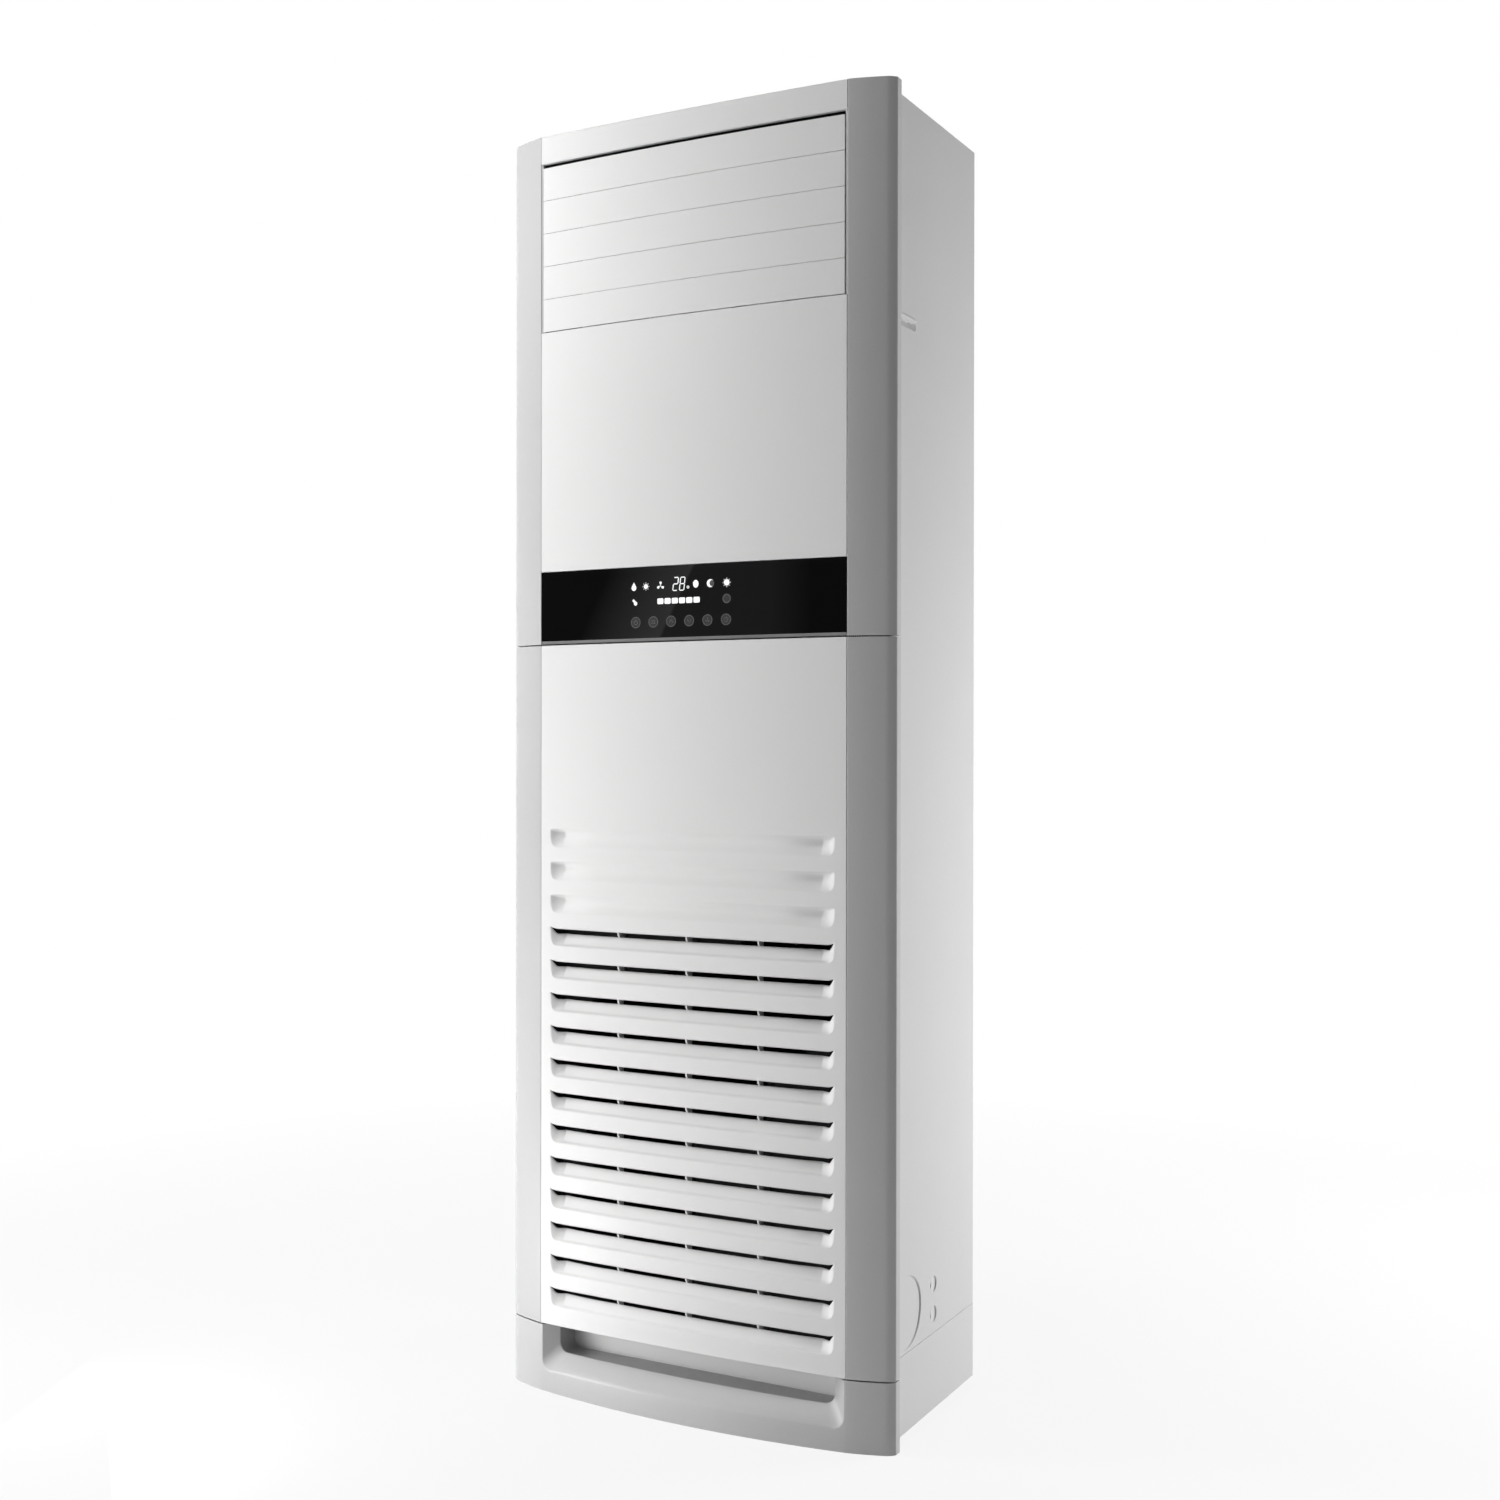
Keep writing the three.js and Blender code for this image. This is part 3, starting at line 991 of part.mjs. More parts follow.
add('blower_deck', 'zinc', blowerDeck());
add('fan_scroll', 'zinc', fanScroll());
add('scroll_front', 'zinc', scrollFront());
add('fan_motor', 'motor', fanMotor());
add('motor_bracket', 'zinc', motorBracket());
add('fan_wheel', 'vane', fanWheel());
add('fan_shaft', 'steel', fanShaft());
add('coil_fins', 'fins', coilFins());
for (const [sideName, side] of SIDES) add(`coil_end_${sideName}`, 'zinc', mirrored(coilEnd(), side));
add('drain_pan', 'foam', drainPan());
add('drain_hose', 'dark', drainHose());
add('gas_pipe', 'copper', pipe(GAS));
add('liquid_pipe', 'copper', pipe(LIQUID));

// ---------------------------------------------------------------- electrical box
const E_HALF = 160;
const E_D = [24, 74];
const E_Z = [672, DECK_Z - FIT];
const E_WALL = 1.2;

function electricalBox() {
  const [y0, y1] = E_D.map(atDepth);
  const [z0, z1] = E_Z;
  return cut(box(-E_HALF, E_HALF, y0 + E_WALL + FIT, y1, z0, z1),
    box(-E_HALF + E_WALL, E_HALF - E_WALL, y0, y1 - E_WALL, z0 + E_WALL, z1 - E_WALL));
}

const boardBack = atDepth(E_D[1]) - E_WALL - FIT;
add('electrical_box', 'zinc', electricalBox());
add('electrical_cover', 'zinc', box(-E_HALF, E_HALF, atDepth(E_D[0]), atDepth(E_D[0]) + E_WALL, ...E_Z));
add('control_board', 'board', box(-E_HALF + 20, 60, boardBack - 8, boardBack, E_Z[0] + 12, E_Z[1] - 12));
add('fan_capacitor', 'dark', box(80, 122, boardBack - 24, boardBack, E_Z[0] + 40, E_Z[0] + 72));

export default unit;
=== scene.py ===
"""Looks of the floor standing air conditioner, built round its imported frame."""

import json
import math
from collections import namedtuple

import bmesh
import bpy
from mathutils import Matrix, Vector
from mathutils.geometry import tessellate_polygon


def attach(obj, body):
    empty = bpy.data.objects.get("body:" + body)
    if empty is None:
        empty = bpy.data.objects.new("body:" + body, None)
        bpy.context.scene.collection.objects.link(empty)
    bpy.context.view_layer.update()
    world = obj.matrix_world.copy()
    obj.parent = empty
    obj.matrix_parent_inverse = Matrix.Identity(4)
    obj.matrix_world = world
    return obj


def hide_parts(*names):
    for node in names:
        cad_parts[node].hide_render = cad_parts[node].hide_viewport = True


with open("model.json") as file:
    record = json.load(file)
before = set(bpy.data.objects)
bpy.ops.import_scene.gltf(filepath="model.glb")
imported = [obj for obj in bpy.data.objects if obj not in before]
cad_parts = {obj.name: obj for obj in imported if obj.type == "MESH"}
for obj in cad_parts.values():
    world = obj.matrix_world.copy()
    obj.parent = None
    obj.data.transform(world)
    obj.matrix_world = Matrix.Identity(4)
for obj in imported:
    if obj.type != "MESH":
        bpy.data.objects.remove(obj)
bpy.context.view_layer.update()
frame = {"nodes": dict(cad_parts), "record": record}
MM = 0.001

# ---- sizes in millimetres
BODY_W, BODY_H, CASE_D = 600, 1780, 300
HALF_W = BODY_W / 2
STILE_W, STILE_RISE, STILE_CROWN, STILE_WEBS = 60.7, 19.6, 1.4, 3
STILE_INNER_D, CORNER_TURN, CORNER_SLOPE = -13.5, 12, 1.15
PANEL_BOW, HEADER_BOW, FOOT_BOW = 6.5, 5.1, 19.4
PANEL_HALF = HALF_W - STILE_W
FRAME_LAP, FRAME_RETURN, CASE_DROP, POST_D = 8, 17, 12, 22
CASE_HALF = HALF_W - FRAME_LAP
CASE_TOP = BODY_H - CASE_DROP
EDGE_Y = (STILE_RISE + FOOT_BOW - CASE_D) / 2
MOULDING, SEAM, SIDE_SEAM, FIT, SHEET = 2.4, 0.8, 0.3, 0.3, 1.5
BASE_H, DOOR_TOP, DISPLAY_H, PLINTH_TOP = 94.6, 1059, 103, 115
HEADER_H, HEADER_GAP = 39.4, 5.6
HEADER_Z = BODY_H - HEADER_H
DISPLAY_TOP = DOOR_TOP + DISPLAY_H
DOOR_Z = BASE_H + 1
COVER_TOP = BASE_H - 0.9
FACE_HALF = PANEL_HALF - SIDE_SEAM / 2

# louvre blades, their ears, pivots and the pins of the tie bar
BLADES, BLADE_PITCH, BLADE_T, BLADE_GAP = 5, 46.5, 2.2, 0.4
BLADE_HALF, BLADE_RIM, BLADE_TAPER, HEADER_LIP = PANEL_HALF - 3.3, 1, 5, 6
LOUVRE_Z = HEADER_Z - HEADER_GAP - BLADES * BLADE_PITCH
STOP_GAP, STOP_SUNK, OUTLET_HALF = 0.6, 0.9, PANEL_HALF + 0.5
EAR_T, EAR_ROOT, EAR_TIP, EAR_SUNK = 3, 7, 4, 0.3
PIVOT_D, PIVOT_R, PIVOT_END = -8, 2.5, OUTLET_HALF + 3.2
TIE_D, TIE_R, TIE_END = 6, 2, OUTLET_HALF - 0.6

# intake grille; towards its ends a blind pocket takes the END values and an open one's power
ROW_PITCH, ROW_H, ROW_R, ROW_HALF = 46.4, 26, 10, PANEL_HALF - 17.3
OPEN_ROWS, BLIND_ROWS, LOWEST_ROW_Z = 12, 3, 149.6
SLOT_H, SLOT_FADE, LIP_ROLL = 9.8, 8, ((3.4, 2.8), (1.8, 2.3), (0.6, 1.3))
OPEN_D, OPEN_END_D, OPEN_STEPS = 8.8, 13.6, (0, 0.06, 0.2, 0.4, 0.6, 0.8)
BLIND_D, BLIND_END_D, BLIND_STEPS = 3.6, 14.2, OPEN_STEPS + (0.88, 0.94, 0.98)
BLIND_CREST, BLIND_END_CREST, BLIND_POWER, OPEN_POWER = 0.45, 0.85, 1.3, 0.55
CHEEK, CHEEK_FLARE, CHEEK_FADE = 21, 1.05, 60
HOLD, SKIN_EDGE, SKIN_T = 1.5, ((0.7, 0), (0.2, 0.2), (0, 0.7)), 2
FLANGE_D, FOOT_FLANGE = -6, 3
RIB_X, RIB_W, RIB_BACK_D, RIB_GAP = (-110, 0, 110), 3, -6.2, 2.6
RIB_Z = (LOWEST_ROW_Z - ROW_H - 2, LOWEST_ROW_Z + ROW_PITCH * (OPEN_ROWS - 1) + 8)
WEB_W = 2.4
WEB_OUTLINE = ((4.4, 1.4), (4.8, -2.4), (5.8, -7.2), (OPEN_D - 0.4, -SLOT_H),
               (OPEN_D + 1.2, -SLOT_H - 1.5), (OPEN_D + 7, -SLOT_H - 1.5), (OPEN_D + 7, 1.4))

# hooks and lugs on which the lower panel tilts
HOOK_X, HOOK_D, HOOK_Z, HOOK_R = 202, -16.5, 100, 1.6
HOOK_ARM, HOOK_PIN, LUG_X, LUG_T = 3, 8, 196, 4

# toe recess: its outline on the face, the mouth behind it and the pocket behind that
SCOOP_HALF, SCOOP_Z, SCOOP_R, SCOOP_REACH = PANEL_HALF - 3, 29, 16, 17.5
SCOOP_EASE, SCOOP_END_EASE, SCOOP_END_POWER = 1.6, 1, 5
MOUTH_HALF, MOUTH_Z, MOUTH_R, UPRIGHT_POINTS = SCOOP_HALF - 20, 54, 14, 5
POCKET_Z, POCKET_D, CREST_T, CREST_FALL, RAIL_D = 50, 32, 3, 1.5, 14

# casing's sides and screws; a knock-out is its depth, height, radius and number of sides
SIDE_FRONT_D, SIDE_T, FOLD_R, FRONT_FLANGE, BACK_FLANGE = 2, 1.2, 1, 11, 15
GRIP_D, GRIP_Z, GRIP_H = (19, 84), LOUVRE_Z - 29.5, 12
GRIP_SUNK, GRIP_WALL, GRIP_RUNOUT, GRIP_RAISED = 4.4, 4.8, 15, 3.2
BEAD_Z = GRIP_Z + GRIP_H / 2 + 2.6
BEAD_SECTION = ((-2.4, 0), (-1.6, 1.04), (0, 1.3), (1.6, 1.04), (2.4, 0), (2, -0.4), (-2, -0.4))
BEAD_ENDS = ((18, 0.3), (21, 0.85), (27, 1), (76, 1), (82, 0.85), (85, 0.3))
KNOCKOUTS = ((58, 168, 48, 72), (149, 182, 11.5, 32), (149, 141, 11.5, 32))
KNOCKOUT_SUNK, KNOCKOUT_SLOPE = (0.15, 1.85), 0.8
SCREW_R, SCREW_DOME = 4.2, ((1, 0), (1, 0.5), (0.85, 1.3), (0.5, 1.8))
SIDE_SCREW_Z, BACK_SCREW_Z = (70, CASE_TOP - 50), (28, CASE_TOP - 10)
BACK_SCREW_X, SIDE_SCREW_IN, TOP_SCREW_IN, TOP_SCREW_D = (-190, -65, 65, 190), 9, 12, (60, 250)

# display: heights of its rows, places of the signs, sizes of figures, bars and keys
UPPER_Z, MIDDLE_Z, KEY_Z = DOOR_TOP + 75.9, DOOR_TOP + 54.9, DOOR_TOP + 27
SIGN_X = {"drop": -81, "sun": -61.5, "fan": -38, "tens": -14, "units": -3.6, "degree": 5.4,
          "shield": 17.5, "moon": 40, "lamp": 65, "brush": -80}
GLASS_BEVEL_D, GLASS_BEVEL_H, GLASS_BACK_D = 1.8, 4.2, -10
DIGIT_W, DIGIT_H, DIGIT_LEAN, DIGIT_STROKE, DIGIT_TRIM = 7, 17.6, 0.12, 1.35, 0.55
SEGMENTS = {"top": (-1, 1, 1, 1), "mid": (-1, 0, 1, 0), "low": (-1, -1, 1, -1), "tl": (-1, 1, -1, 0),
            "tr": (1, 1, 1, 0), "bl": (-1, 0, -1, -1), "br": (1, 0, 1, -1)}
TWO, EIGHT = ("top", "tr", "mid", "bl", "low"), tuple(SEGMENTS)
BARS, BAR_X, BAR_PITCH, BAR_W, BAR_H, BAR_R = 6, -43, 11.4, 9.7, 7.8, 1.6
KEYS = [-78 + 28.4 * i for i in range(6)]
KEY_R, KEY_FACE_R, SMALL_KEY_R, SMALL_KEY_FACE_R, MARK_W = 7.8, 6.5, 6.4, 4.6, 0.9
SIGN_LIFT, RING_LIFT, KEY_LIFT, INLAY_D = 0.08, 0.06, 0.04, 0.1

# ---- studio in metres, degrees and watts
CAMERA_PLACE, CAMERA_TURN = (1.2231, -2.2495, 0.92), (28.2, -0.211, 0.064)
SENSOR_W, LENS = 36, 42.91
FLOOR_HALF, FLOOR_GREY, AMBIENT = 14, 0.66, 0.05
FLOOR_GLOW, FLOOR_FADE = (0.87, 1), (0.5, 2.2)
Lamp = namedtuple("Lamp", "place target width height watts mirrored")
LAMPS = {
    "key": Lamp((-1.15, -0.75, 1.2), (0, -0.15, 1), 0.4, 2.3, 19, False),
    "key_head": Lamp((-0.75, -0.65, 1.9), (-0.15, -0.15, 1.7), 0.3, 0.3, 1.8, False),
    "key_foot": Lamp((-0.8, -0.5, 0.25), (0, -0.15, 0.1), 0.3, 0.5, 0.8, False),
    "foot": Lamp((-0.6, -0.6, 0.07), (-0.22, -0.16, 0.04), 0.35, 0.12, 1.3, True),
    "overhead": Lamp((-0.6, -1.7, 3.2), (0, -0.15, 0.8), 1.6, 1.2, 12, True),
    "low_fill": Lamp((-1.1, -1.9, 0.35), (0, -0.15, 0.2), 1.6, 0.6, 10.2, False),
    "side": Lamp((1.6, 1.45, 0.6), (0.29, 0.02, 0.7), 0.9, 0.9, 47, False),
    "back": Lamp((-1.4, 2.4, 2), (0, 0.1, 0.9), 1.8, 1.8, 22, True),
}


# ---- curves
def spread(lo, hi, steps):
    return [lo + (hi - lo) * i / steps for i in range(steps + 1)]


def between(first, second, share):
    return first + (second - first) * share


def polar(x, y, radius, angle):
    return (x + radius * math.cos(angle), y + radius * math.sin(angle))


def arc(x, y, radius, start, end, steps, tall=1.0):
    """Points of an arc round (x, y), its ends given in half turns."""
    return [(x + radius * math.cos(a), y + radius * tall * math.sin(a))
            for a in spread(start * math.pi, end * math.pi, steps)]


def circle(x, y, radius, sides=28, tall=1.0):
    return arc(x, y, radius, 0, 2, sides, tall)[:-1]


def placed(pair, value, axis):
    """Point made of two coordinates and, at the place given by axis, a third."""
    return (*pair[:axis], value, *pair[axis:])


def bow_depth(x, bow=PANEL_BOW):
    """Depth of the bowed front at x, behind the front frame's outer edge."""
    return -(STILE_RISE + bow * (1 - (x / PANEL_HALF) ** 2))


def stile_depth(x):
    t = (HALF_W - x) / STILE_W
    return -(STILE_RISE * t + 4 * STILE_CROWN * t * (1 - t))


# ---- mesh code
class Shell:
    """Collects the points (x, depth, z) and faces of one piece."""

    def __init__(self):
        self.points, self.faces, self.marked = [], [], []

    def add(self, points):
        start = len(self.points)
        self.points.extend(points)
        return list(range(start, start + len(points)))

    def face(self, ids, mark=0):
        ids = [one for i, one in enumerate(ids) if one != ids[i - 1]]
        if len(set(ids)) > 2:
            self.faces.append(tuple(ids))
            self.marked.append(mark)

    def sided(self, ids, sign):
        """Face whose ids run the other way round where sign isn't positive."""
        self.face(ids if sign > 0 else ids[::-1])

    def strip(self, low, high, mark=0):
        for i in range(len(low) - 1):
            self.face((low[i], low[i + 1], high[i + 1], high[i]), mark)

    def strips(self, rows):
        for low, high in zip(rows, rows[1:]):
            self.strip(low, high)

    def tube(self, rings):
        """Closed solid through rings of points."""
        self.strips([ring + ring[:1] for ring in rings])
        self.face(rings[0][::-1])
        self.face(rings[-1])

    def prism(self, outline, lo, hi, axis):
        """Closed solid: an outline of two coordinates drawn out along the third."""
        self.tube([self.add([placed(pair, value, axis) for pair in outline]) for value in (lo, hi)])

    def crossbars(self, outline, near, far, sides=(1, -1)):
        """Prisms along x between two distances from the middle, to its right (1) and left (-1)."""
        for side in sides:
            self.prism(outline, *sorted((side * near, side * far)), 0)

    def box(self, x0, x1, d0, d1, z0, z1):
        self.prism([(x0, d0), (x1, d0), (x1, d1), (x0, d1)], z0, z1, 2)

    def mirrored(self):
        twin = Shell()
        twin.points = [(-x, d, z) for x, d, z in self.points]
        twin.faces = [face[::-1] for face in self.faces]
        twin.marked = list(self.marked)
        return twin

    def piece(self, name, body, slot, replaces=(), materials=None, solid=False, smooth=True):
        """Mesh object that rides on a body, in its slot's material unless others are given."""
        mesh = bpy.data.meshes.new(name)
        mesh.from_pydata([(x * MM, (EDGE_Y + d) * MM, z * MM) for x, d, z in self.points], [], self.faces)
        for material in materials or [SLOT_LOOKS[slot]]:
            mesh.materials.append(material)
        for polygon, mark in zip(mesh.polygons, self.marked):
            polygon.material_index = mark
            polygon.use_smooth = smooth
        if solid:
            turn_faces_out(mesh)
        obj = add_object(name, mesh)
        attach(obj, body)
        if replaces:
            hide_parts(*replaces)
        return obj


def add_object(name, data):
    obj = bpy.data.objects.new(name, data)
    bpy.context.scene.collection.objects.link(obj)
    return obj


def turn_faces_out(mesh):
    work = bmesh.new()
    work.from_mesh(mesh)
    bmesh.ops.recalc_face_normals(work, faces=work.faces)
    work.to_mesh(mesh)
    work.free()


def soften(obj, width, angle, segments=3):
    edges = obj.modifiers.new("soft_edges", "BEVEL")
    edges.width = width * MM
    edges.segments = segments
    edges.limit_method = "ANGLE"
    edges.angle_limit = math.radians(angle)
    edges.miter_outer = "MITER_ARC"


def thicken(obj, thickness=MOULDING, even=False):
    wall = obj.modifiers.new("wall", "SOLIDIFY")
    wall.thickness = thickness * MM
    wall.offset = -1
    wall.use_even_offset = even


def even_shading(obj):
    normals = obj.modifiers.new("even_shading", "WEIGHTED_NORMAL")
    normals.keep_sharp = True
    normals.weight = 80


def moulded(obj, rounding, angle=20, rim=0.3):
    """Thin moulding with rounded folds and a finely broken rim."""
    soften(obj, rounding, angle)
    thicken(obj, even=True)
    soften(obj, rim, 55, 1)
    even_shading(obj)


def solid_part(shell, name, body, slot, rounding, segments=2, replaces=()):
    """Closed solid with rounded edges."""
    obj = shell.piece(name, body, slot, replaces, solid=True)
    soften(obj, rounding, 40, segments)
    even_shading(obj)


# ---- materials
class Nodes:
    """Short calls for a node tree; inputs are numbers, colours or other nodes' outputs."""

    def __init__(self, tree):
        self.tree = tree

    def feed(self, socket, value):
        if isinstance(value, bpy.types.NodeSocket):
            self.tree.links.new(value, socket)
        else:
            socket.default_value = (*value, 1.0) if socket.type == "RGBA" else value

    def node(self, kind, inputs=None, **settings):
        made = self.tree.nodes.new("ShaderNode" + kind)
        for key, value in settings.items():
            setattr(made, key, value)
        for key, value in (inputs or {}).items():
            self.feed(made.inputs[key], value)
        return made

    def span(self, value, low, high, start=0.3, end=0.7):
        ends = {"From Min": start, "From Max": end, "To Min": low, "To Max": high}
        return self.node("MapRange", {"Value": value, **ends}).outputs["Result"]

    def math(self, operation, first, second):
        return self.node("Math", {0: first, 1: second}, operation=operation).outputs["Value"]


class Shader(Nodes):
    """A Principled material, object coordinates and what feeds it."""

    def __init__(self, name, rough, **fixed):
        self.material = bpy.data.materials.new(name)
        self.material.use_nodes = True
        super().__init__(self.material.node_tree)
        self.surface = self.tree.nodes["Principled BSDF"].inputs
        self.roughness(rough)
        for key, value in fixed.items():
            self.feed(self.surface[key.replace("_", " ")], value)
        self.coords = self.node("TexCoord").outputs["Object"]

    def colour(self, value):
        self.feed(self.surface["Base Color"], value)

    def roughness(self, value):
        self.feed(self.surface["Roughness"], value)

    def scaled(self, x, y, z):
        return self.node("Mapping", {"Vector": self.coords, "Scale": (x, y, z)}).outputs["Vector"]

    def noise(self, scale, detail=3.0, vector=None):
        inputs = {"Scale": scale, "Detail": detail, "Roughness": 0.55, "Vector": vector or self.coords}
        return self.node("TexNoise", inputs).outputs["Fac"]

    def cells(self, scale, output="Color", feature="F1"):
        inputs = {"Scale": scale, "Vector": self.coords}
        return self.node("TexVoronoi", inputs, feature=feature).outputs[output]

    def waves(self, scale, direction):
        inputs = {"Scale": scale, "Vector": self.coords}
        return self.node("TexWave", inputs, wave_type="BANDS", bands_direction=direction).outputs["Fac"]

    def ramp(self, value, low, high, at=(0.3, 0.7)):
        made = self.node("ValToRGB", {"Fac": value})
        for element, place, colour in zip(made.color_ramp.elements, at, (low, high)):
            element.position = place
            element.color = (*colour, 1.0)
        return made.outputs["Color"]

    def mix(self, share, first, second, blend="MIX"):
        inputs = {"Fac": share, "Color1": first, "Color2": second}
        return self.node("MixRGB", inputs, blend_type=blend).outputs["Color"]

    def bump(self, height, strength, distance):
        inputs = {"Strength": strength, "Distance": distance * MM, "Height": height}
        before = self.surface["Normal"]
        if before.is_linked:
            inputs["Normal"] = before.links[0].from_socket
        self.feed(before, self.node("Bump", inputs).outputs["Normal"])


def grey(value, warm=0.0):
    return (value * (1 + warm), value, value * (1 - warm))


def mottled(name, rough, low, high, scale, grain=None, **fixed):
    """Material between two colours; grain is a noise's scale and detail, and its strength and depth."""
    made = Shader(name, rough, **fixed)
    made.colour(made.ramp(made.noise(scale), low, high))
    if grain:
        made.bump(made.noise(*grain[:2]), *grain[2:])
    return made.material


def white_moulding():
    made = Shader("white_moulding", 0.36, Specular_IOR_Level=0.45)
    broad = made.ramp(made.noise(2.2, 2), grey(0.775, 0.004), grey(0.80, 0.002))
    fine = made.ramp(made.noise(700, 2), grey(0.985), grey(1.0))
    made.colour(made.mix(1.0, broad, fine, "MULTIPLY"))
    made.roughness(made.span(made.noise(35, 4), 0.32, 0.42))
    made.bump(made.noise(1400, 2), 0.05, 0.05)
    made.bump(made.noise(14, 2), 0.04, 0.4)
    return made.material


def silver_moulding():
    made = Shader("silver_moulding", 0.4, Metallic=0.12, Specular_IOR_Level=0.4)
    flakes = made.ramp(made.cells(2600), grey(0.90), grey(1.0), (0.1, 0.9))
    body = made.ramp(made.noise(3.0, 2), grey(0.51), grey(0.54))
    made.colour(made.mix(1.0, body, flakes, "MULTIPLY"))
    made.roughness(made.span(made.noise(60, 4), 0.34, 0.46))
    made.bump(made.cells(2600, "Distance"), 0.06, 0.05)
    made.bump(made.noise(20, 2), 0.03, 0.3)
    return made.material


def powder_coat():
    made = Shader("powder_coat", 0.5, Specular_IOR_Level=0.4)
    broad = made.ramp(made.noise(2.5, 2), grey(0.60), grey(0.63))
    fine = made.ramp(made.noise(900, 2), grey(0.96), grey(1.0))
    made.colour(made.mix(1.0, broad, fine, "MULTIPLY"))
    made.roughness(made.span(made.noise(300, 3), 0.42, 0.58))
    made.bump(made.noise(520, 3), 0.22, 0.08)
    return made.material


def black_gloss():
    """Black glass with a slanting band of painted sheen, a painted reflection in its base colour; the places
    are metres across the display.
    """
    lean, sheen_band_start, sheen_band_end, edge = 0.55, -0.76, -0.627, 0.005
    sheen_fringe_level, sheen_fringe_start, sheen_fringe_end = 0.32, 0.13, 0.19
    made = Shader("black_gloss", 0.07, Specular_IOR_Level=0.04)
    across, _, up = made.node("SeparateXYZ", {"Vector": made.coords}).outputs
    slant = made.math("SUBTRACT", across, made.math("MULTIPLY", up, lean))
    # Both masks, the band and the fainter one right of its slanting edge, are painted sheen: a painted
    # reflection laid into the base colour.
    band = made.math("MULTIPLY", made.span(slant, 0.0, 1.0, sheen_band_start, sheen_band_end),
                     made.span(slant, 1.0, 0.0, sheen_band_end, sheen_band_end + edge))
    painted_sheen_fringe = made.math("MULTIPLY", made.span(slant, 0.0, sheen_fringe_level, sheen_band_end, sheen_band_end + edge),
                     made.span(across, 1.0, 0.0, sheen_fringe_start, sheen_fringe_end))
    # The lighter of the two colours is the painted reflection, not a colour of the glass.
    made.colour(made.mix(made.math("ADD", band, painted_sheen_fringe), grey(0.0004), grey(0.028)))
    made.roughness(made.span(made.noise(80, 3), 0.05, 0.10))
    made.bump(made.noise(6, 2), 0.02, 0.2)
    return made.material


def polished_bevel():
    return mottled("polished_bevel", 0.22, grey(0.16), grey(0.22), 18, (400, 2, 0.05, 0.05),
                   Metallic=0.3, Specular_IOR_Level=0.5)


def matt_black():
    return mottled("matt_black", 0.6, grey(0.010), grey(0.018), 90, (1100, 2, 0.25, 0.06))


def pale_moulding():
    return mottled("pale_moulding", 0.5, grey(0.55, 0.015), grey(0.60, 0.012), 30, (900, 2, 0.12, 0.06))


def galvanised():
    made = Shader("galvanised", 0.42, Metallic=0.85)
    spangle = made.ramp(made.cells(95), grey(0.40), grey(0.62), (0.0, 1.0))
    made.colour(made.mix(0.35, spangle, made.ramp(made.noise(12, 4), grey(0.42), grey(0.58))))
    made.roughness(made.span(made.cells(95, "Distance"), 0.34, 0.55, 0.0, 0.8))
    made.bump(made.noise(260, 3), 0.08, 0.06)
    return made.material


def bead_foam():
    made = Shader("bead_foam", 0.8)
    beads = made.cells(260, "Distance")
    # Each bead is lighter in its middle and darker towards its rim: painted shade in the creases between the
    # beads.
    made.colour(made.ramp(beads, grey(0.80, 0.01), grey(0.66, 0.012), (0.2, 0.75)))
    made.bump(beads, 0.5, -0.5)
    return made.material


def finned():
    made = Shader("finned", 0.38, Metallic=0.9)
    # The light bands are the fin edges; the dark bands between them are painted shade standing for the shaded
    # gaps between the fins of the solid block.
    edges = made.waves(95, "X")
    made.colour(made.ramp(edges, grey(0.12), grey(0.62), (0.25, 0.7)))
    made.bump(edges, 0.8, 0.8)
    return made.material


def bare_copper():
    made = Shader("bare_copper", 0.3, Metallic=1.0)
    made.colour(made.ramp(made.noise(25, 5), (0.56, 0.22, 0.11), (0.78, 0.38, 0.22)))
    made.roughness(made.span(made.noise(60, 4), 0.24, 0.45))
    return made.material


def motor_enamel():
    return mottled("motor_enamel", 0.4, grey(0.05), grey(0.075), 40, (300, 3, 0.2, 0.1))


def turned_steel():
    made = Shader("turned_steel", 0.28, Metallic=1.0)
    made.colour(made.ramp(made.noise(300, 3, made.scaled(1, 8, 1)), grey(0.42), grey(0.6)))
    made.bump(made.noise(900, 2, made.scaled(1, 6, 1)), 0.15, 0.05)
    return made.material


def circuit_board():
    made = Shader("circuit_board", 0.35)
    tracks = made.cells(70, "Distance", "DISTANCE_TO_EDGE")
    made.colour(made.ramp(tracks, (0.05, 0.16, 0.06), (0.012, 0.07, 0.02), (0.02, 0.06)))
    made.bump(tracks, 0.2, 0.1)
    return made.material


def black_rubber():
    return mottled("black_rubber", 0.75, grey(0.012), grey(0.022), 60, (700, 3, 0.4, 0.1))


def filter_net():
    made = Shader("filter_net", 0.7)
    weave = made.math("MAXIMUM", made.waves(110, "X"), made.waves(110, "Z"))
    # Threads lighter, the gaps between them darker: painted shade where the openings of the solid sheet stand
    # for the dark inside behind the net.
    made.colour(made.ramp(weave, grey(0.003), grey(0.035), (0.55, 0.9)))
    made.bump(weave, 0.7, 0.4)
    return made.material


def lit_symbol():
    return mottled("lit_symbol", 0.3, grey(0.6), grey(0.66), 200,
                   Emission_Strength=0.6, Emission_Color=(0.95, 0.98, 1.0))


def printed_symbol():
    return mottled("printed_symbol", 0.3, grey(0.055), grey(0.075), 200)


def dark_print():
    return mottled("dark_print", 0.25, grey(0.012), grey(0.016), 200)


def zinc_screw():
    return mottled("zinc_screw", 0.35, grey(0.45), grey(0.6), 400, (1500, 2, 0.1, 0.05), Metallic=1.0)


SLOT_LOOKS = {
    "white": white_moulding(), "silver": silver_moulding(), "casing": powder_coat(), "glass": black_gloss(),
    "dark": matt_black(), "vane": pale_moulding(), "zinc": galvanised(), "foam": bead_foam(),
    "fins": finned(), "copper": bare_copper(), "motor": motor_enamel(), "steel": turned_steel(),
    "board": circuit_board(), "rubber": black_rubber(), "net": filter_net(),
}


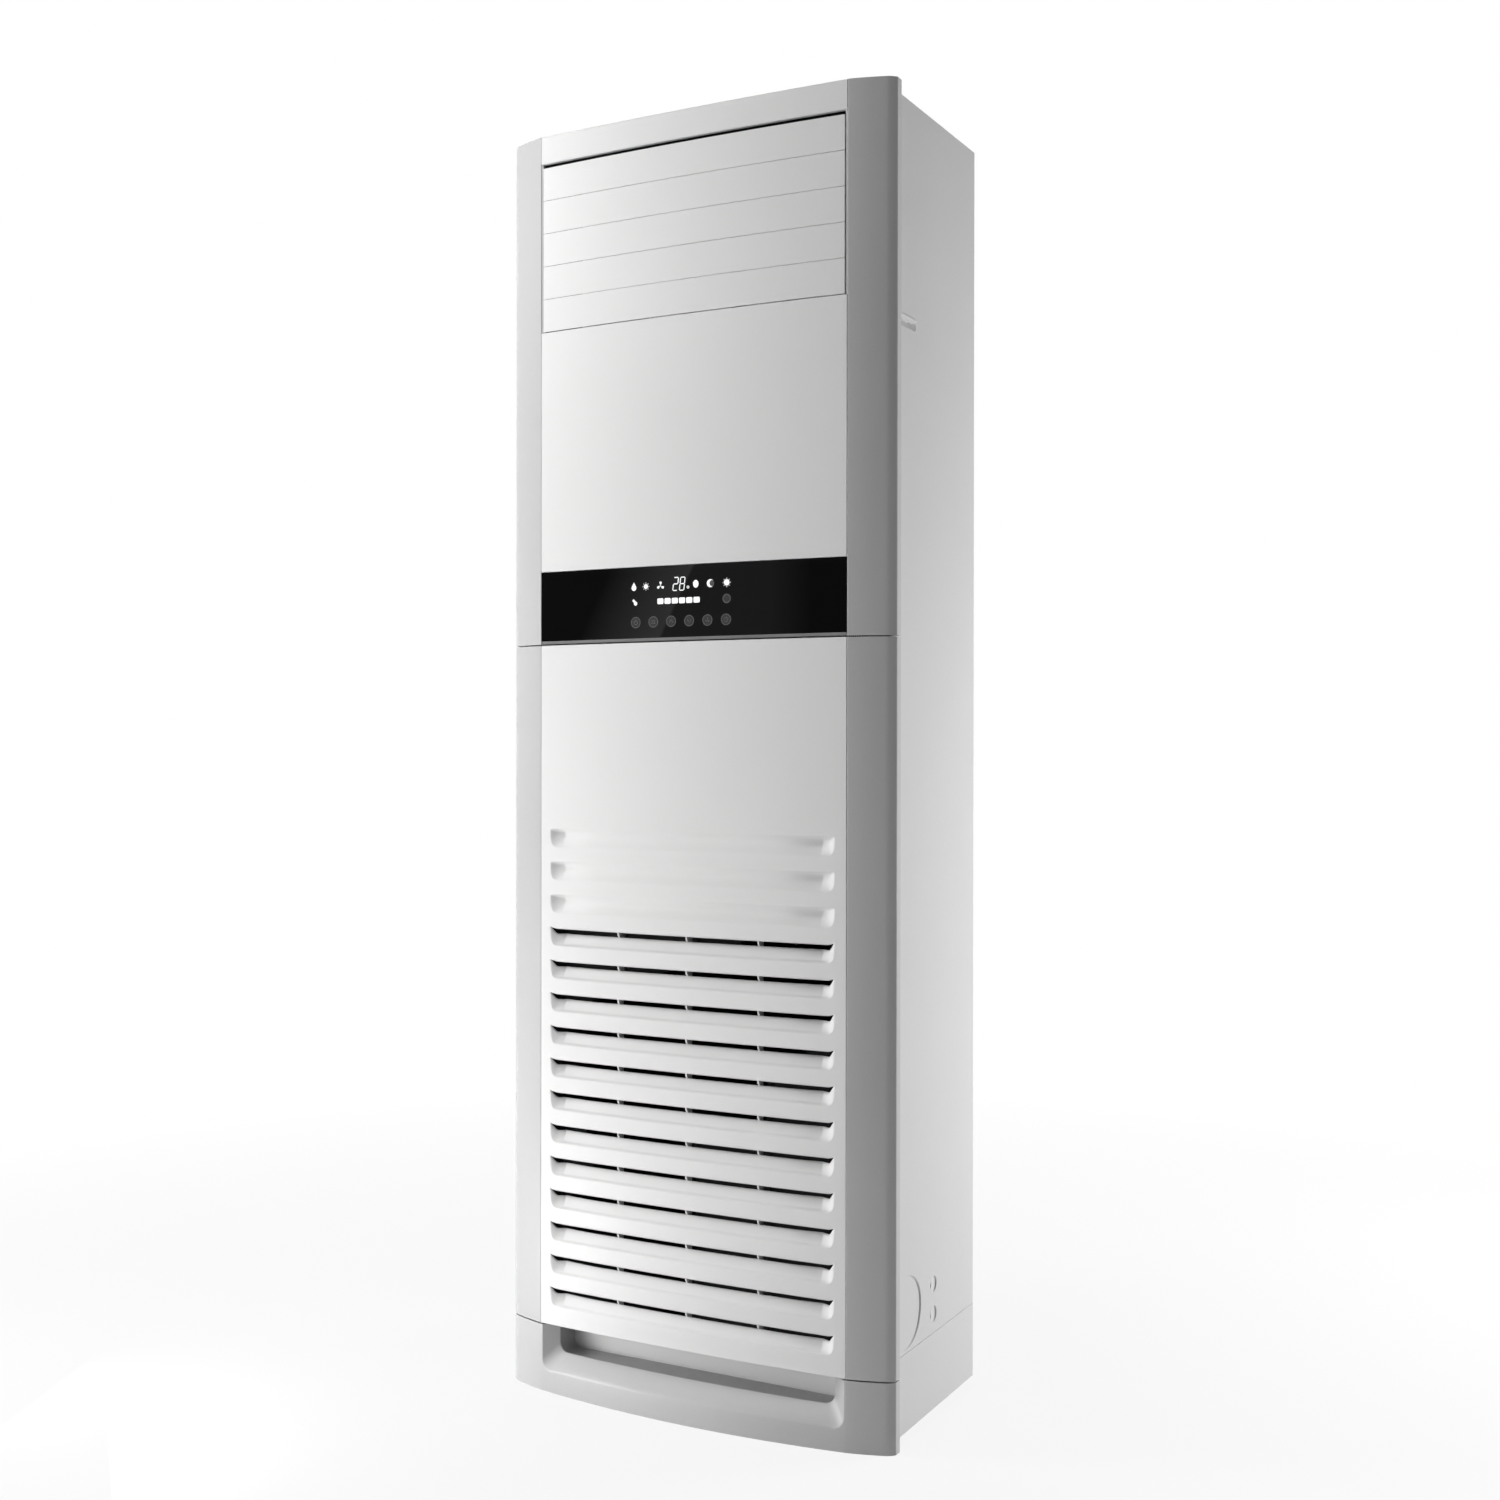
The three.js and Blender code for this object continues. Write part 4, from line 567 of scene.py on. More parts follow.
def dress_nodes():
    """Gives each CAD node its material, smooth shading and lightly broken edges."""
    slots = {part["node"]: part["material_slot"] for part in frame["record"]["subparts"]}
    for name, obj in frame["nodes"].items():
        obj.data.materials.clear()
        obj.data.materials.append(SLOT_LOOKS[slots[name]])
        custom = obj.data.attributes.get("custom_normal")
        if custom:
            obj.data.attributes.remove(custom)
        for polygon in obj.data.polygons:
            polygon.use_smooth = True
        weld = obj.modifiers.new("weld", "WELD")
        weld.merge_threshold = 0.002 * MM
        merge = obj.modifiers.new("merge_flats", "DECIMATE")
        merge.decimate_type = "DISSOLVE"
        merge.angle_limit = math.radians(0.6)
        soften(obj, 0.35, 35, 2)
        even_shading(obj)


# ---- front mouldings
def tray(profile, back, bow=PANEL_BOW, closed=True, marked_row=None):
    """Bowed moulding open at its back: profile of (inset, z); closed adds its foot and its ends."""
    shell = Shell()
    xs = spread(-FACE_HALF, FACE_HALF, 48)
    foot, *head = ([(x, back, z) for x in xs] for _, z in (profile[0], profile[-1]))
    face = [[(x, bow_depth(x, bow) + inset, z) for x in xs] for inset, z in profile]
    rows = [shell.add(row) for row in ([foot] if closed else []) + face + head]
    for i, (low, high) in enumerate(zip(rows, rows[1:])):
        shell.strip(low, high, int(i == marked_row))
    if closed:
        shell.face([row[0] for row in rows])
        shell.face([row[-1] for row in rows][::-1])
    return shell


def stile_curve():
    """Plan of the right stile's visible skin: inner edge, crowned face, rounded corner, side return."""
    x_in, x_edge = PANEL_HALF + SIDE_SEAM / 2, HALF_W - CORNER_TURN
    face = [(x, stile_depth(x)) for x in spread(x_in, x_edge, 14)]
    start, half_turn = face[-1], CORNER_TURN / 2
    slope = (face[-1][1] - face[-2][1]) / (face[-1][0] - face[-2][0])
    knee = (x_edge + half_turn, start[1] + slope * half_turn)
    end = (HALF_W, knee[1] + CORNER_SLOPE * half_turn)
    corner = [tuple((1 - t) ** 2 * a + 2 * t * (1 - t) * b + t * t * c for a, b, c in zip(start, knee, end))
              for t in spread(0, 1, 7)[1:]]
    return ([(x_in, STILE_INNER_D)] + face + corner
            + [(HALF_W, FRAME_RETURN), (CASE_HALF + FIT, FRAME_RETURN)])


def stile_shell(z0, z1, capped):
    shell = Shell()
    curve = stile_curve()
    low, high = (shell.add([(x, d, z) for x, d in curve]) for z in (z0, z1))
    shell.strip(low, high)
    if capped:
        shell.face(high[:-1] + shell.add([(curve[0][0], FRAME_RETURN, z1)]))
    return shell


def stile_webs(z0, z1):
    """Webs across the stile's hollow, whose back edges meet the front posts."""
    shell = Shell()
    inner, step, outer = PANEL_HALF + MOULDING + 0.6, PANEL_HALF + 25, CASE_HALF - 14
    back, step_d, inner_w, clear = POST_D - FIT, 16, 4, 0.2
    front = [(x, stile_depth(x) + MOULDING + clear) for x in (inner, step, outer)]
    outline = front + [(outer, back), (step, back), (step, step_d), (inner + inner_w, step_d),
                       (inner + inner_w, STILE_INNER_D - 1), (inner, STILE_INNER_D - 1)]
    for z in spread(z0, z1, STILE_WEBS + 1)[1:-1]:
        shell.prism(outline, z, z + MOULDING, 2)
    return shell


def build_stiles():
    spans = {"upper": (DOOR_TOP + SEAM, BODY_H, "root"), "lower": (DOOR_Z, DOOR_TOP - SEAM, "door")}
    for level, (z0, z1, body) in spans.items():
        right, webs = stile_shell(z0, z1, level == "upper"), stile_webs(z0, z1)
        for side, shell, web in (("right", right, webs), ("left", right.mirrored(), webs.mirrored())):
            skin = shell.piece(f"{level}_stile_skin_{side}", body, "silver", [f"{level}_stile_{side}"])
            moulded(skin, 1.0, rim=0.25)
            soften(web.piece(f"{level}_stile_webs_{side}", body, "silver", solid=True), 0.3, 40, 1)


def blade_stops():
    """Sunk ledges of the upper stiles that close the gaps beside the blades."""
    shell = Shell()
    near, far = BLADE_HALF + STOP_GAP, PANEL_HALF + SIDE_SEAM / 2
    front, back = stile_depth(far) + STOP_SUNK, STILE_INNER_D + 0.5
    for side in (-1, 1):
        shell.box(*sorted((side * near, side * far)), front, back, LOUVRE_Z, HEADER_Z - FIT)
    return shell


def build_upper_front():
    soften(blade_stops().piece("blade_stops", "root", "silver", solid=True), 0.4, 40, 2)
    head = tray([(HEADER_LIP, HEADER_Z), (0, HEADER_Z), (0, BODY_H)], FRAME_RETURN, HEADER_BOW, closed=False)
    moulded(head.piece("header_skin", "root", "white", ["header"]), 2.2)
    plain = tray([(0, DISPLAY_TOP + SEAM / 2), (0, LOUVRE_Z - SEAM)], STILE_INNER_D)
    moulded(plain.piece("upper_panel_skin", "root", "white", ["upper_front_panel"]), 0.6)


def blade_shell(z):
    """Closed bar along the bow, thinner at its long edges."""
    shell = Shell()
    low, high = z - (BLADE_PITCH - BLADE_GAP) / 2, z + (BLADE_PITCH - BLADE_GAP) / 2
    rim = BLADE_T - BLADE_RIM
    profile = [(0, low), (0, high), (rim, high), (BLADE_T, high - BLADE_TAPER),
               (BLADE_T, low + BLADE_TAPER), (rim, low)]
    shell.tube([shell.add([(x, bow_depth(x) + inset, z) for inset, z in profile])
                for x in spread(-BLADE_HALF, BLADE_HALF, 40)])
    return shell


def blade_ears(z):
    """End ears with their pivots, and on the right the longer ear that drives the tie bar."""
    front = bow_depth(BLADE_HALF) + BLADE_T - EAR_SUNK
    shell = Shell()
    for side, back in ((1, TIE_D + EAR_TIP), (-1, PIVOT_D + EAR_T)):
        outline = [(front, z - EAR_ROOT), (front, z + EAR_ROOT), (back, z + EAR_TIP), (back, z - EAR_TIP)]
        shell.crossbars(outline, BLADE_HALF - EAR_T, BLADE_HALF, [side])
    shell.crossbars(circle(PIVOT_D, z, PIVOT_R, 16), BLADE_HALF, PIVOT_END)
    shell.crossbars(circle(TIE_D, z, TIE_R, 16), BLADE_HALF, TIE_END, [1])
    return shell


def build_blades():
    for i in range(BLADES):
        number, z = i + 1, LOUVRE_Z + BLADE_PITCH * (i + 0.5)
        body = f"louvre_{number}"
        solid_part(blade_shell(z), f"blade_skin_{number}", body, "white", 0.7, 3, [f"louvre_blade_{number}"])
        solid_part(blade_ears(z), f"blade_ears_{number}", body, "white", 0.3)


# ---- intake grille
def row_columns():
    """Columns across a pocket as (x, share of its full depth), denser round the hollow ends."""
    inner = ROW_HALF - CHEEK
    cheek = [(inner + CHEEK * u, 1 - u ** CHEEK_FLARE) for u in spread(0, 1, 9)[1:]]
    middle = [(x, 1.0) for x in spread(-inner, inner, 26)]
    return [(-x, share) for x, share in reversed(cheek)] + middle + cheek


def row_foot(x, top):
    """Lower edge of a pocket at x, with its rounded corners."""
    over = max(0.0, abs(x) - (ROW_HALF - ROW_R))
    return top - ROW_H + ROW_R - math.sqrt(max(0.0, ROW_R ** 2 - over ** 2))


def from_end(x, reach):
    """Rises from 0 at a pocket's ends to 1 at this distance from them."""
    return min(1.0, (ROW_HALF - abs(x)) / reach)


def open_profile(t, middle):
    return between(OPEN_END_D, OPEN_D, middle) * t ** OPEN_POWER


def blind_profile(t, middle):
    """Depth of a blind pocket: deepest at its crest, back to the skin at its upper edge."""
    deepest = between(BLIND_END_D, BLIND_D, middle)
    crest = between(BLIND_END_CREST, BLIND_CREST, middle)
    if t <= crest:
        return deepest * (t / crest) ** between(OPEN_POWER, BLIND_POWER, middle)
    return deepest * math.cos((t - crest) / (1 - crest) * math.pi / 2)


def skin_margin(shell, sign, z, inset):
    """Points beside the pockets, round the panel's upright edge and back along its flange."""
    stations = [(ROW_HALF + HOLD, 0.0)] + [(FACE_HALF - x, d) for x, d in SKIN_EDGE]
    points = [(sign * x, bow_depth(x) + max(inset, d), z) for x, d in stations]
    return shell.add(points + [(sign * FACE_HALF, FLANGE_D, z)])


def skin_row(shell, columns, heights, insets):
    """One row across the whole panel, its margins level with the row's two ends."""
    left = skin_margin(shell, -1, heights[0], insets[0])[::-1]
    middle = shell.add([(x, bow_depth(x) + inset, z) for (x, _), z, inset in zip(columns, heights, insets)])
    return left + middle + skin_margin(shell, 1, heights[-1], insets[-1])


def level_row(shell, columns, z, inset=0.0):
    return skin_row(shell, columns, [z] * len(columns), [inset] * len(columns))


def rolled_lip(shell, columns, top, lips):
    """Skin rolled in over an open slot."""
    above = lips
    for inset, fall in reversed(LIP_ROLL):
        roll = [(x, from_end(x, SLOT_FADE)) for x, _ in columns[1:-1]]
        row = shell.add([(x, bow_depth(x) + inset * reach, top - fall * reach) for x, reach in roll])
        row = [lips[0]] + row + [lips[-1]]
        shell.strip(row, above)
        above = row


def pocket_rows(shell, columns, top, is_open):
    """Rows of one pocket from just under its foot to just over its upper edge."""
    middles = [from_end(x, CHEEK_FADE) for x, _ in columns]
    feet = [row_foot(x, top) for x, _ in columns]
    crests = [top - SLOT_H * from_end(x, SLOT_FADE) * is_open for x, _ in columns]
    profile, steps = (open_profile, OPEN_STEPS) if is_open else (blind_profile, BLIND_STEPS)
    rows = [skin_row(shell, columns, [foot - HOLD for foot in feet], [0.0] * len(columns))]
    for t in steps:
        heights = [between(foot, crest, t) for foot, crest in zip(feet, crests)]
        depths = [share * profile(t, middle) for (_, share), middle in zip(columns, middles)]
        rows.append(skin_row(shell, columns, heights, depths))
    lips = level_row(shell, columns, top)
    if is_open:
        inner = list(zip(columns, middles, crests))[1:-1]
        crest = shell.add([(x, bow_depth(x) + share * open_profile(1, middle), z)
                           for (x, share), middle, z in inner])
        margin = (len(lips) - len(crest)) // 2
        rows.append(lips[:margin] + crest + lips[-margin:])
        rolled_lip(shell, columns, top, lips[margin - 1:1 - margin])
    else:
        rows.append(lips)
    return rows, [lips, level_row(shell, columns, top + HOLD)]


def panel_edge(shell, columns, z_edge, direction):
    """Rows that round the panel's lower or upper edge; direction is +1 at the top."""
    rows = [level_row(shell, columns, z_edge - direction * down, inset) for down, inset in SKIN_EDGE]
    edge = rows[-1]
    flange = []
    for x, depth, _ in (shell.points[i] for i in edge[1:-1]):
        flange.append((x, FLANGE_D if direction > 0 else depth + FOOT_FLANGE, z_edge))
    return rows + [[edge[0]] + shell.add(flange) + [edge[-1]]]


def grille_shell():
    columns = row_columns()
    shell = Shell()
    bands = [panel_edge(shell, columns, DOOR_Z, -1)[::-1]]
    for row in range(OPEN_ROWS + BLIND_ROWS):
        pocket, above = pocket_rows(shell, columns, LOWEST_ROW_Z + ROW_PITCH * row, row < OPEN_ROWS)
        bands[-1].append(pocket[0])
        bands += [pocket, above]
    bands[-1] += panel_edge(shell, columns, DOOR_TOP - SEAM, 1)
    for band in bands:
        shell.strips(band)
    return shell


def grille_webs():
    """Small webs that carry the skin across each open slot, and the upright ribs behind them."""
    shell = Shell()
    for x in RIB_X:
        skin = bow_depth(x)
        for row in range(OPEN_ROWS):
            top = LOWEST_ROW_Z + ROW_PITCH * row
            outline = [(skin + back, top + up) for back, up in WEB_OUTLINE]
            shell.prism(outline, x - WEB_W / 2, x + WEB_W / 2, 0)
        shell.box(x - RIB_W / 2, x + RIB_W / 2, skin + OPEN_D + RIB_GAP, RIB_BACK_D, *RIB_Z)
    return shell


def door_lugs():
    """Lugs behind the panel's foot that turn on the base cover's pins."""
    shell = Shell()
    front, back = bow_depth(LUG_X) + MOULDING, HOOK_D + 5
    outline = [(front, DOOR_Z), (back, DOOR_Z), (back, HOOK_Z + 6), (front, HOOK_Z + 16)]
    shell.crossbars(outline, LUG_X - LUG_T / 2, LUG_X + LUG_T / 2)
    return shell


def build_grille():
    panel = grille_shell().piece("lower_panel_skin", "door", "white", ["lower_panel"])
    thicken(panel, SKIN_T)
    even_shading(panel)
    solid_part(grille_webs(), "grille_webs", "door", "white", 0.25)
    solid_part(door_lugs(), "door_lugs", "door", "white", 0.5)


# ---- display
def build_display_window():
    z0, z1 = DOOR_TOP + SEAM, DISPLAY_TOP - SEAM / 2
    shell = tray([(GLASS_BEVEL_D, z0), (0, z0 + GLASS_BEVEL_H), (0, z1)], GLASS_BACK_D, marked_row=1)
    looks = [SLOT_LOOKS["glass"], polished_bevel()]
    moulded(shell.piece("display_glass", "root", "glass", ["display_window"], looks), 0.5, angle=15)


def ring(x, z, outer, inner, sides=28):
    """A ring as short quads."""
    rim, hole = circle(x, z, outer, sides), circle(x, z, inner, sides)
    return [[rim[i - 1], rim[i], hole[i], hole[i - 1]] for i in range(sides)]


def stroke(a, b, width=MARK_W):
    (x0, z0), (x1, z1) = a, b
    length = math.hypot(x1 - x0, z1 - z0)
    nx, nz = -(z1 - z0) / length * width / 2, (x1 - x0) / length * width / 2
    return [(x0 + nx, z0 + nz), (x0 - nx, z0 - nz), (x1 - nx, z1 - nz), (x1 + nx, z1 + nz)]


def digit(x, z, lit):
    """Seven segment figure with its centre at (x, z)."""
    w, h = DIGIT_W / 2, DIGIT_H / 2
    polygons = []
    for name in lit:
        ax, az, bx, bz = (share * half for share, half in zip(SEGMENTS[name], (w, h, w, h)))
        trim = DIGIT_TRIM / math.hypot(bx - ax, bz - az)
        a = (between(ax, bx, trim), between(az, bz, trim))
        b = (between(bx, ax, trim), between(bz, az, trim))
        polygons.append([(x + u + DIGIT_LEAN * v, z + v) for u, v in stroke(a, b, DIGIT_STROKE)])
    return polygons


def sun(x, z, core, reach):
    rays = zip(circle(x, z, core + MARK_W, 8), circle(x, z, reach, 8))
    return [circle(x, z, core)] + [stroke(near, far) for near, far in rays]


def petals(x, z, reach):
    """Three-bladed fan."""
    blade = ((1.2, -0.3), (reach * 0.7, -0.5), (reach, -0.15), (reach * 0.9, 0.35), (reach * 0.5, 0.4))
    shapes = [circle(x, z, 0.9, 12)]
    for turn in (90, 210, 330):
        shapes.append([polar(x, z, radius, math.radians(turn) + angle) for radius, angle in blade])
    return shapes


def crescent(x, z, radius):
    steps = 20
    outer = arc(x, z, radius, 0.3, 1.7, steps)
    inner = arc(x + 2.6, z, 0.7 * radius, 0.38, 1.62, steps, 0.75 / 0.7)
    return [[outer[i], outer[i + 1], inner[i + 1], inner[i]] for i in range(steps)]


def drop(x, z, radius):
    return [arc(x, z, radius, 0.85, 2.15, 18) + [(x, z + radius * 2.1)]]


def brush(x, z):
    return [stroke((x - 2.5, z + 3.4), (x + 2, z - 2), 3.2), circle(x + 1.6, z - 1.8, 2.7, 16)]


def rounded_bar(x, z):
    """Upright rectangle from (x, z) with rounded corners."""
    left, right, low, high = x + BAR_R, x + BAR_W - BAR_R, z + BAR_R, z + BAR_H - BAR_R
    outline = []
    for cx, cz, start in ((right, low, -0.5), (right, high, 0), (left, high, 0.5), (left, low, 1)):
        outline += arc(cx, cz, BAR_R, start, start + 0.5, 3)
    return outline


def lit_symbols():
    shapes = drop(SIGN_X["drop"], UPPER_Z - 1.4, 3.8) + sun(SIGN_X["sun"], UPPER_Z, 3.2, 5.2)
    shapes += petals(SIGN_X["fan"], UPPER_Z, 6.2)
    shapes += digit(SIGN_X["tens"], UPPER_Z + 1.6, TWO) + digit(SIGN_X["units"], UPPER_Z + 1.6, EIGHT)
    shapes += ring(SIGN_X["degree"], UPPER_Z - 3.4, 2.0, 1.0, 14)
    shapes += [circle(SIGN_X["shield"], UPPER_Z + 0.5, 4.2, tall=1.25)]
    shapes += crescent(SIGN_X["moon"], UPPER_Z + 0.5, 5.4) + sun(SIGN_X["lamp"], UPPER_Z + 0.5, 4.2, 6.2)
    shapes += brush(SIGN_X["brush"], MIDDLE_Z)
    return shapes + [rounded_bar(BAR_X + BAR_PITCH * i, MIDDLE_Z - BAR_H / 2) for i in range(BARS)]


def printed_symbols():
    shapes = ring(SIGN_X["lamp"], MIDDLE_Z, SMALL_KEY_R, SMALL_KEY_FACE_R)
    shapes.append(circle(SIGN_X["moon"] + 1.5, UPPER_Z + 0.5, 4.4))
    for x in KEYS:
        shapes += ring(x, KEY_Z, KEY_R, KEY_FACE_R)
    return shapes


def key_faces():
    return [circle(x, KEY_Z, KEY_FACE_R) for x in KEYS] + [circle(SIGN_X["lamp"], MIDDLE_Z, SMALL_KEY_FACE_R)]


def key_marks():
    """A mark on each key: power, mode, up, down, fan and timer."""
    z = KEY_Z
    power, mode, up, down, fan, timer = KEYS
    shapes = ring(power, z, 3.2, 2.3, 20) + [stroke((power, z + 0.6), (power, z + 4.2))]
    shapes += [stroke((mode - 3, z + k), (mode + 3, z + k)) for k in (-2, 0, 2)]
    for x, sign in ((up, 1), (down, -1)):
        tip = (x, z + 1.8 * sign)
        shapes += [stroke((x - 3, z - 1.5 * sign), tip), stroke(tip, (x + 3, z - 1.5 * sign))]
    shapes += petals(fan, z, 3.6) + ring(timer, z, 3.3, 2.5, 20)
    return shapes + [stroke((timer, z), (timer, z + 2.2), 0.8), stroke((timer, z), (timer + 1.6, z), 0.8)]


def inlay(name, shapes, material, lift):
    """Thin shapes laid on the bowed glass."""
    shell = Shell()
    for outline in shapes:
        shell.tube([shell.add([(x, bow_depth(x) + depth, z) for x, z in outline])
                    for depth in (INLAY_D, -lift)])
    shell.piece(name, "root", "glass", materials=[material], solid=True, smooth=False)


def build_display():
    build_display_window()
    grey_print = printed_symbol()
    inlay("lit_symbols", lit_symbols(), lit_symbol(), SIGN_LIFT)
    inlay("key_rings", printed_symbols(), grey_print, RING_LIFT)
    inlay("key_faces", key_faces(), dark_print(), KEY_LIFT)
    inlay("key_marks", key_marks(), grey_print, SIGN_LIFT)


# ---- base cover
def cover_front(x, z):
    if abs(x) > PANEL_HALF:
        return stile_depth(abs(x))
    return bow_depth(x, between(FOOT_BOW, PANEL_BOW, z / BASE_H))


def recess_outline(half, foot, radius):
    """U-shaped outline (x, z) from the left top, round the two corners, to the right top."""
    turn = arc(half - radius, foot + radius, radius, -0.5, 0, 9)[:-1]
    right = turn + [(half, z) for z in spread(foot + radius, COVER_TOP, UPRIGHT_POINTS - 1)]
    level = [(x, foot) for x in spread(radius - half, half - radius, 40)[1:-1]]
    return [(-x, z) for x, z in reversed(right)] + level + right


def scoop_rows(shell):
    """Rows of the dished recess, from its edge on the face to the mouth behind it."""
    edge = recess_outline(SCOOP_HALF, SCOOP_Z, SCOOP_R)
    mouth = recess_outline(MOUTH_HALF, MOUTH_Z, MOUTH_R)
    rows = []
    for t in spread(0, 1, 8):
        points = []
        for (x0, z0), (x1, z1) in zip(edge, mouth):
            x, z = between(x0, x1, t), between(z0, z1, t)
            ease = between(SCOOP_EASE, SCOOP_END_EASE, (abs(x0) / SCOOP_HALF) ** SCOOP_END_POWER)
            points.append((x, cover_front(x, z) + SCOOP_REACH * t ** ease, z))
        rows.append(shell.add(points))
    return rows


def mouth_rows(shell, mouth_row):
    """Rows of the pocket behind the mouth: over the crest, along its floor, to its back."""
    inside = recess_outline(MOUTH_HALF, POCKET_Z, MOUTH_R)
    near = [shell.points[i][1] + CREST_T for i in mouth_row]
    crest = shell.add([(x, d, z) for (x, z), d in zip(recess_outline(MOUTH_HALF, MOUTH_Z, MOUTH_R), near)])
    floor = shell.add([(x, d + CREST_FALL, z) for (x, z), d in zip(inside, near)])
    back = shell.add([(x, POCKET_D, z) for x, z in inside])
    return [crest, floor, back]


def cover_corner(shell, sign, column, wall_top):
    """Corner of the cover under a stile; column is the recess's upright edge from the floor up."""
    curve = [(PANEL_HALF, None)] + [point for point in stile_curve()[1:] if point[0] > PANEL_HALF + 1]
    rows = []
    for i in column:
        z = shell.points[i][2]
        rows.append(shell.add([(sign * x, cover_front(x, z) if d is None else d, z) for x, d in curve]))
    for a, b, low, high in zip(column, column[1:], rows, rows[1:]):
        shell.sided((a, low[0], high[0], b), sign)
        shell.strip(*((low, high) if sign > 0 else (high, low)))
    jamb = shell.add([(sign * MOUTH_HALF, FRAME_RETURN, COVER_TOP)])
    shell.sided([column[-1]] + rows[-1] + jamb + wall_top[::-1], sign)


def cover_shell():
    shell = Shell()
    scoop = scoop_rows(shell)
    edge = scoop[0]
    low_edge = edge[UPRIGHT_POINTS - 1:1 - UPRIGHT_POINTS]
    foot = shell.add([(shell.points[i][0], cover_front(shell.points[i][0], 0.0), 0.0) for i in low_edge])
    shell.strip(foot, low_edge)
    rows = scoop + mouth_rows(shell, scoop[-1])
    shell.strips(rows)
    # The pocket's back wall (mark 1) takes the white moulding, lighter than the silver round it; its lighter
    # colour stands partly for light falling on it: painted light.
    shell.face(rows[-1], 1)
    cover_corner(shell, 1, [foot[-1]] + edge[-UPRIGHT_POINTS:], [row[-1] for row in scoop[1:]])
    cover_corner(shell, -1, [foot[0]] + edge[:UPRIGHT_POINTS][::-1], [row[0] for row in scoop[1:]])
    return shell


def cover_fittings():
    """Rail behind the recess with the arms and pins that carry the lower panel."""
    shell = Shell()
    low, high = HOOK_Z - HOOK_R, HOOK_Z + HOOK_R
    arm = arc(HOOK_D, HOOK_Z, HOOK_R, 0.5, 1.5, 8) + [(RAIL_D + 1, low), (RAIL_D + 1, high)]
    shell.box(-SCOOP_HALF, SCOOP_HALF, RAIL_D, FRAME_RETURN, COVER_TOP + 0.4, high)
    shell.crossbars(arm, HOOK_X - HOOK_ARM / 2, HOOK_X + HOOK_ARM / 2)
    shell.crossbars(circle(HOOK_D, HOOK_Z, HOOK_R, 16), HOOK_X - HOOK_ARM / 2, HOOK_X - HOOK_PIN)
    return shell


def build_base_cover():
    # The second look, the white moulding, goes on the pocket's back wall: partly painted light, so that the
    # wall reads as lit.
    looks = [SLOT_LOOKS["silver"], SLOT_LOOKS["white"]]
    cover = cover_shell().piece("base_cover_skin", "root", "silver", ["base_cover"], looks)
    soften(cover, 1.0, 24)
    thicken(cover)
    even_shading(cover)
    soften(cover_fittings().piece("cover_hooks", "root", "silver", solid=True), 0.25, 50, 1)


# ---- casing details
def screw(shell, centre, axis):
    """Low domed screw head that faces back (axis 1) or up (axis 2)."""
    rings = []
    for share, lift in SCREW_DOME:
        offsets = [placed(pair, lift, axis) for pair in circle(0, 0, SCREW_R * share, 24)]
        rings.append(shell.add([tuple(a + b for a, b in zip(centre, offset)) for offset in offsets]))
    shell.tube(rings)


def build_screws():
    shell = Shell()
    for side in (-1, 1):
        for z in spread(*SIDE_SCREW_Z, 6):
            screw(shell, (side * (CASE_HALF - SIDE_SCREW_IN), CASE_D, z), 1)
        for depth in TOP_SCREW_D:
            screw(shell, (side * (CASE_HALF - TOP_SCREW_IN), depth, CASE_TOP), 2)
    for x in BACK_SCREW_X:
        for z in BACK_SCREW_Z:
            screw(shell, (x, CASE_D, z), 1)
    even_shading(shell.piece("casing_screws", "root", "casing", materials=[zinc_screw()], solid=True))


def rounded_slot(depths, z, height):
    near, far = depths
    r = height / 2
    return arc(near + r, z, r, 0.5, 1.5, 8) + arc(far - r, z, r, 1.5, 2.5, 8)


def flat_plate(shell, outline, holes):
    """Triangles of the plate in the side's plane; returns the ids of each loop."""
    loops = [[Vector((d, z, 0.0)) for d, z in loop] for loop in [outline] + holes]
    flat = [point for loop in loops for point in loop]
    ids = shell.add([(CASE_HALF, point.x, point.y) for point in flat])
    for triangle in tessellate_polygon(loops):
        a, b, c = (flat[i] for i in triangle)
        shell.sided([ids[i] for i in triangle], (b - a).cross(c - a).z)
    starts = [sum(len(loop) for loop in loops[:i]) for i in range(len(loops))]
    return [ids[start:start + len(loop)] for start, loop in zip(starts, loops)]


def sink(shell, rim, floor, front_sunk, back_sunk):
    """Presses a rim's inside in to a smaller outline, by two depths at its front and back ends."""
    near, far = min(floor)[0], max(floor)[0]
    inner = shell.add([(CASE_HALF - between(front_sunk, back_sunk, (d - near) / (far - near)), d, z)
                       for d, z in floor])
    shell.strip(inner + inner[:1], rim + rim[:1])
    shell.face(inner)


def fold(shell, edge, start, flange, sign):
    """Folds the plate's edge (low and high id) round to a flange, at its front (-1) or back (1)."""
    heights = [shell.points[i][2] for i in edge]
    for inward, back in arc(FOLD_R, FOLD_R, FOLD_R, 1, 1.5, 4)[1:] + [(flange, 0.0)]:
        after = shell.add([(CASE_HALF - inward, start - sign * back, z) for z in heights])
        shell.sided((edge[0], after[0], after[1], edge[1]), sign)
        edge = after


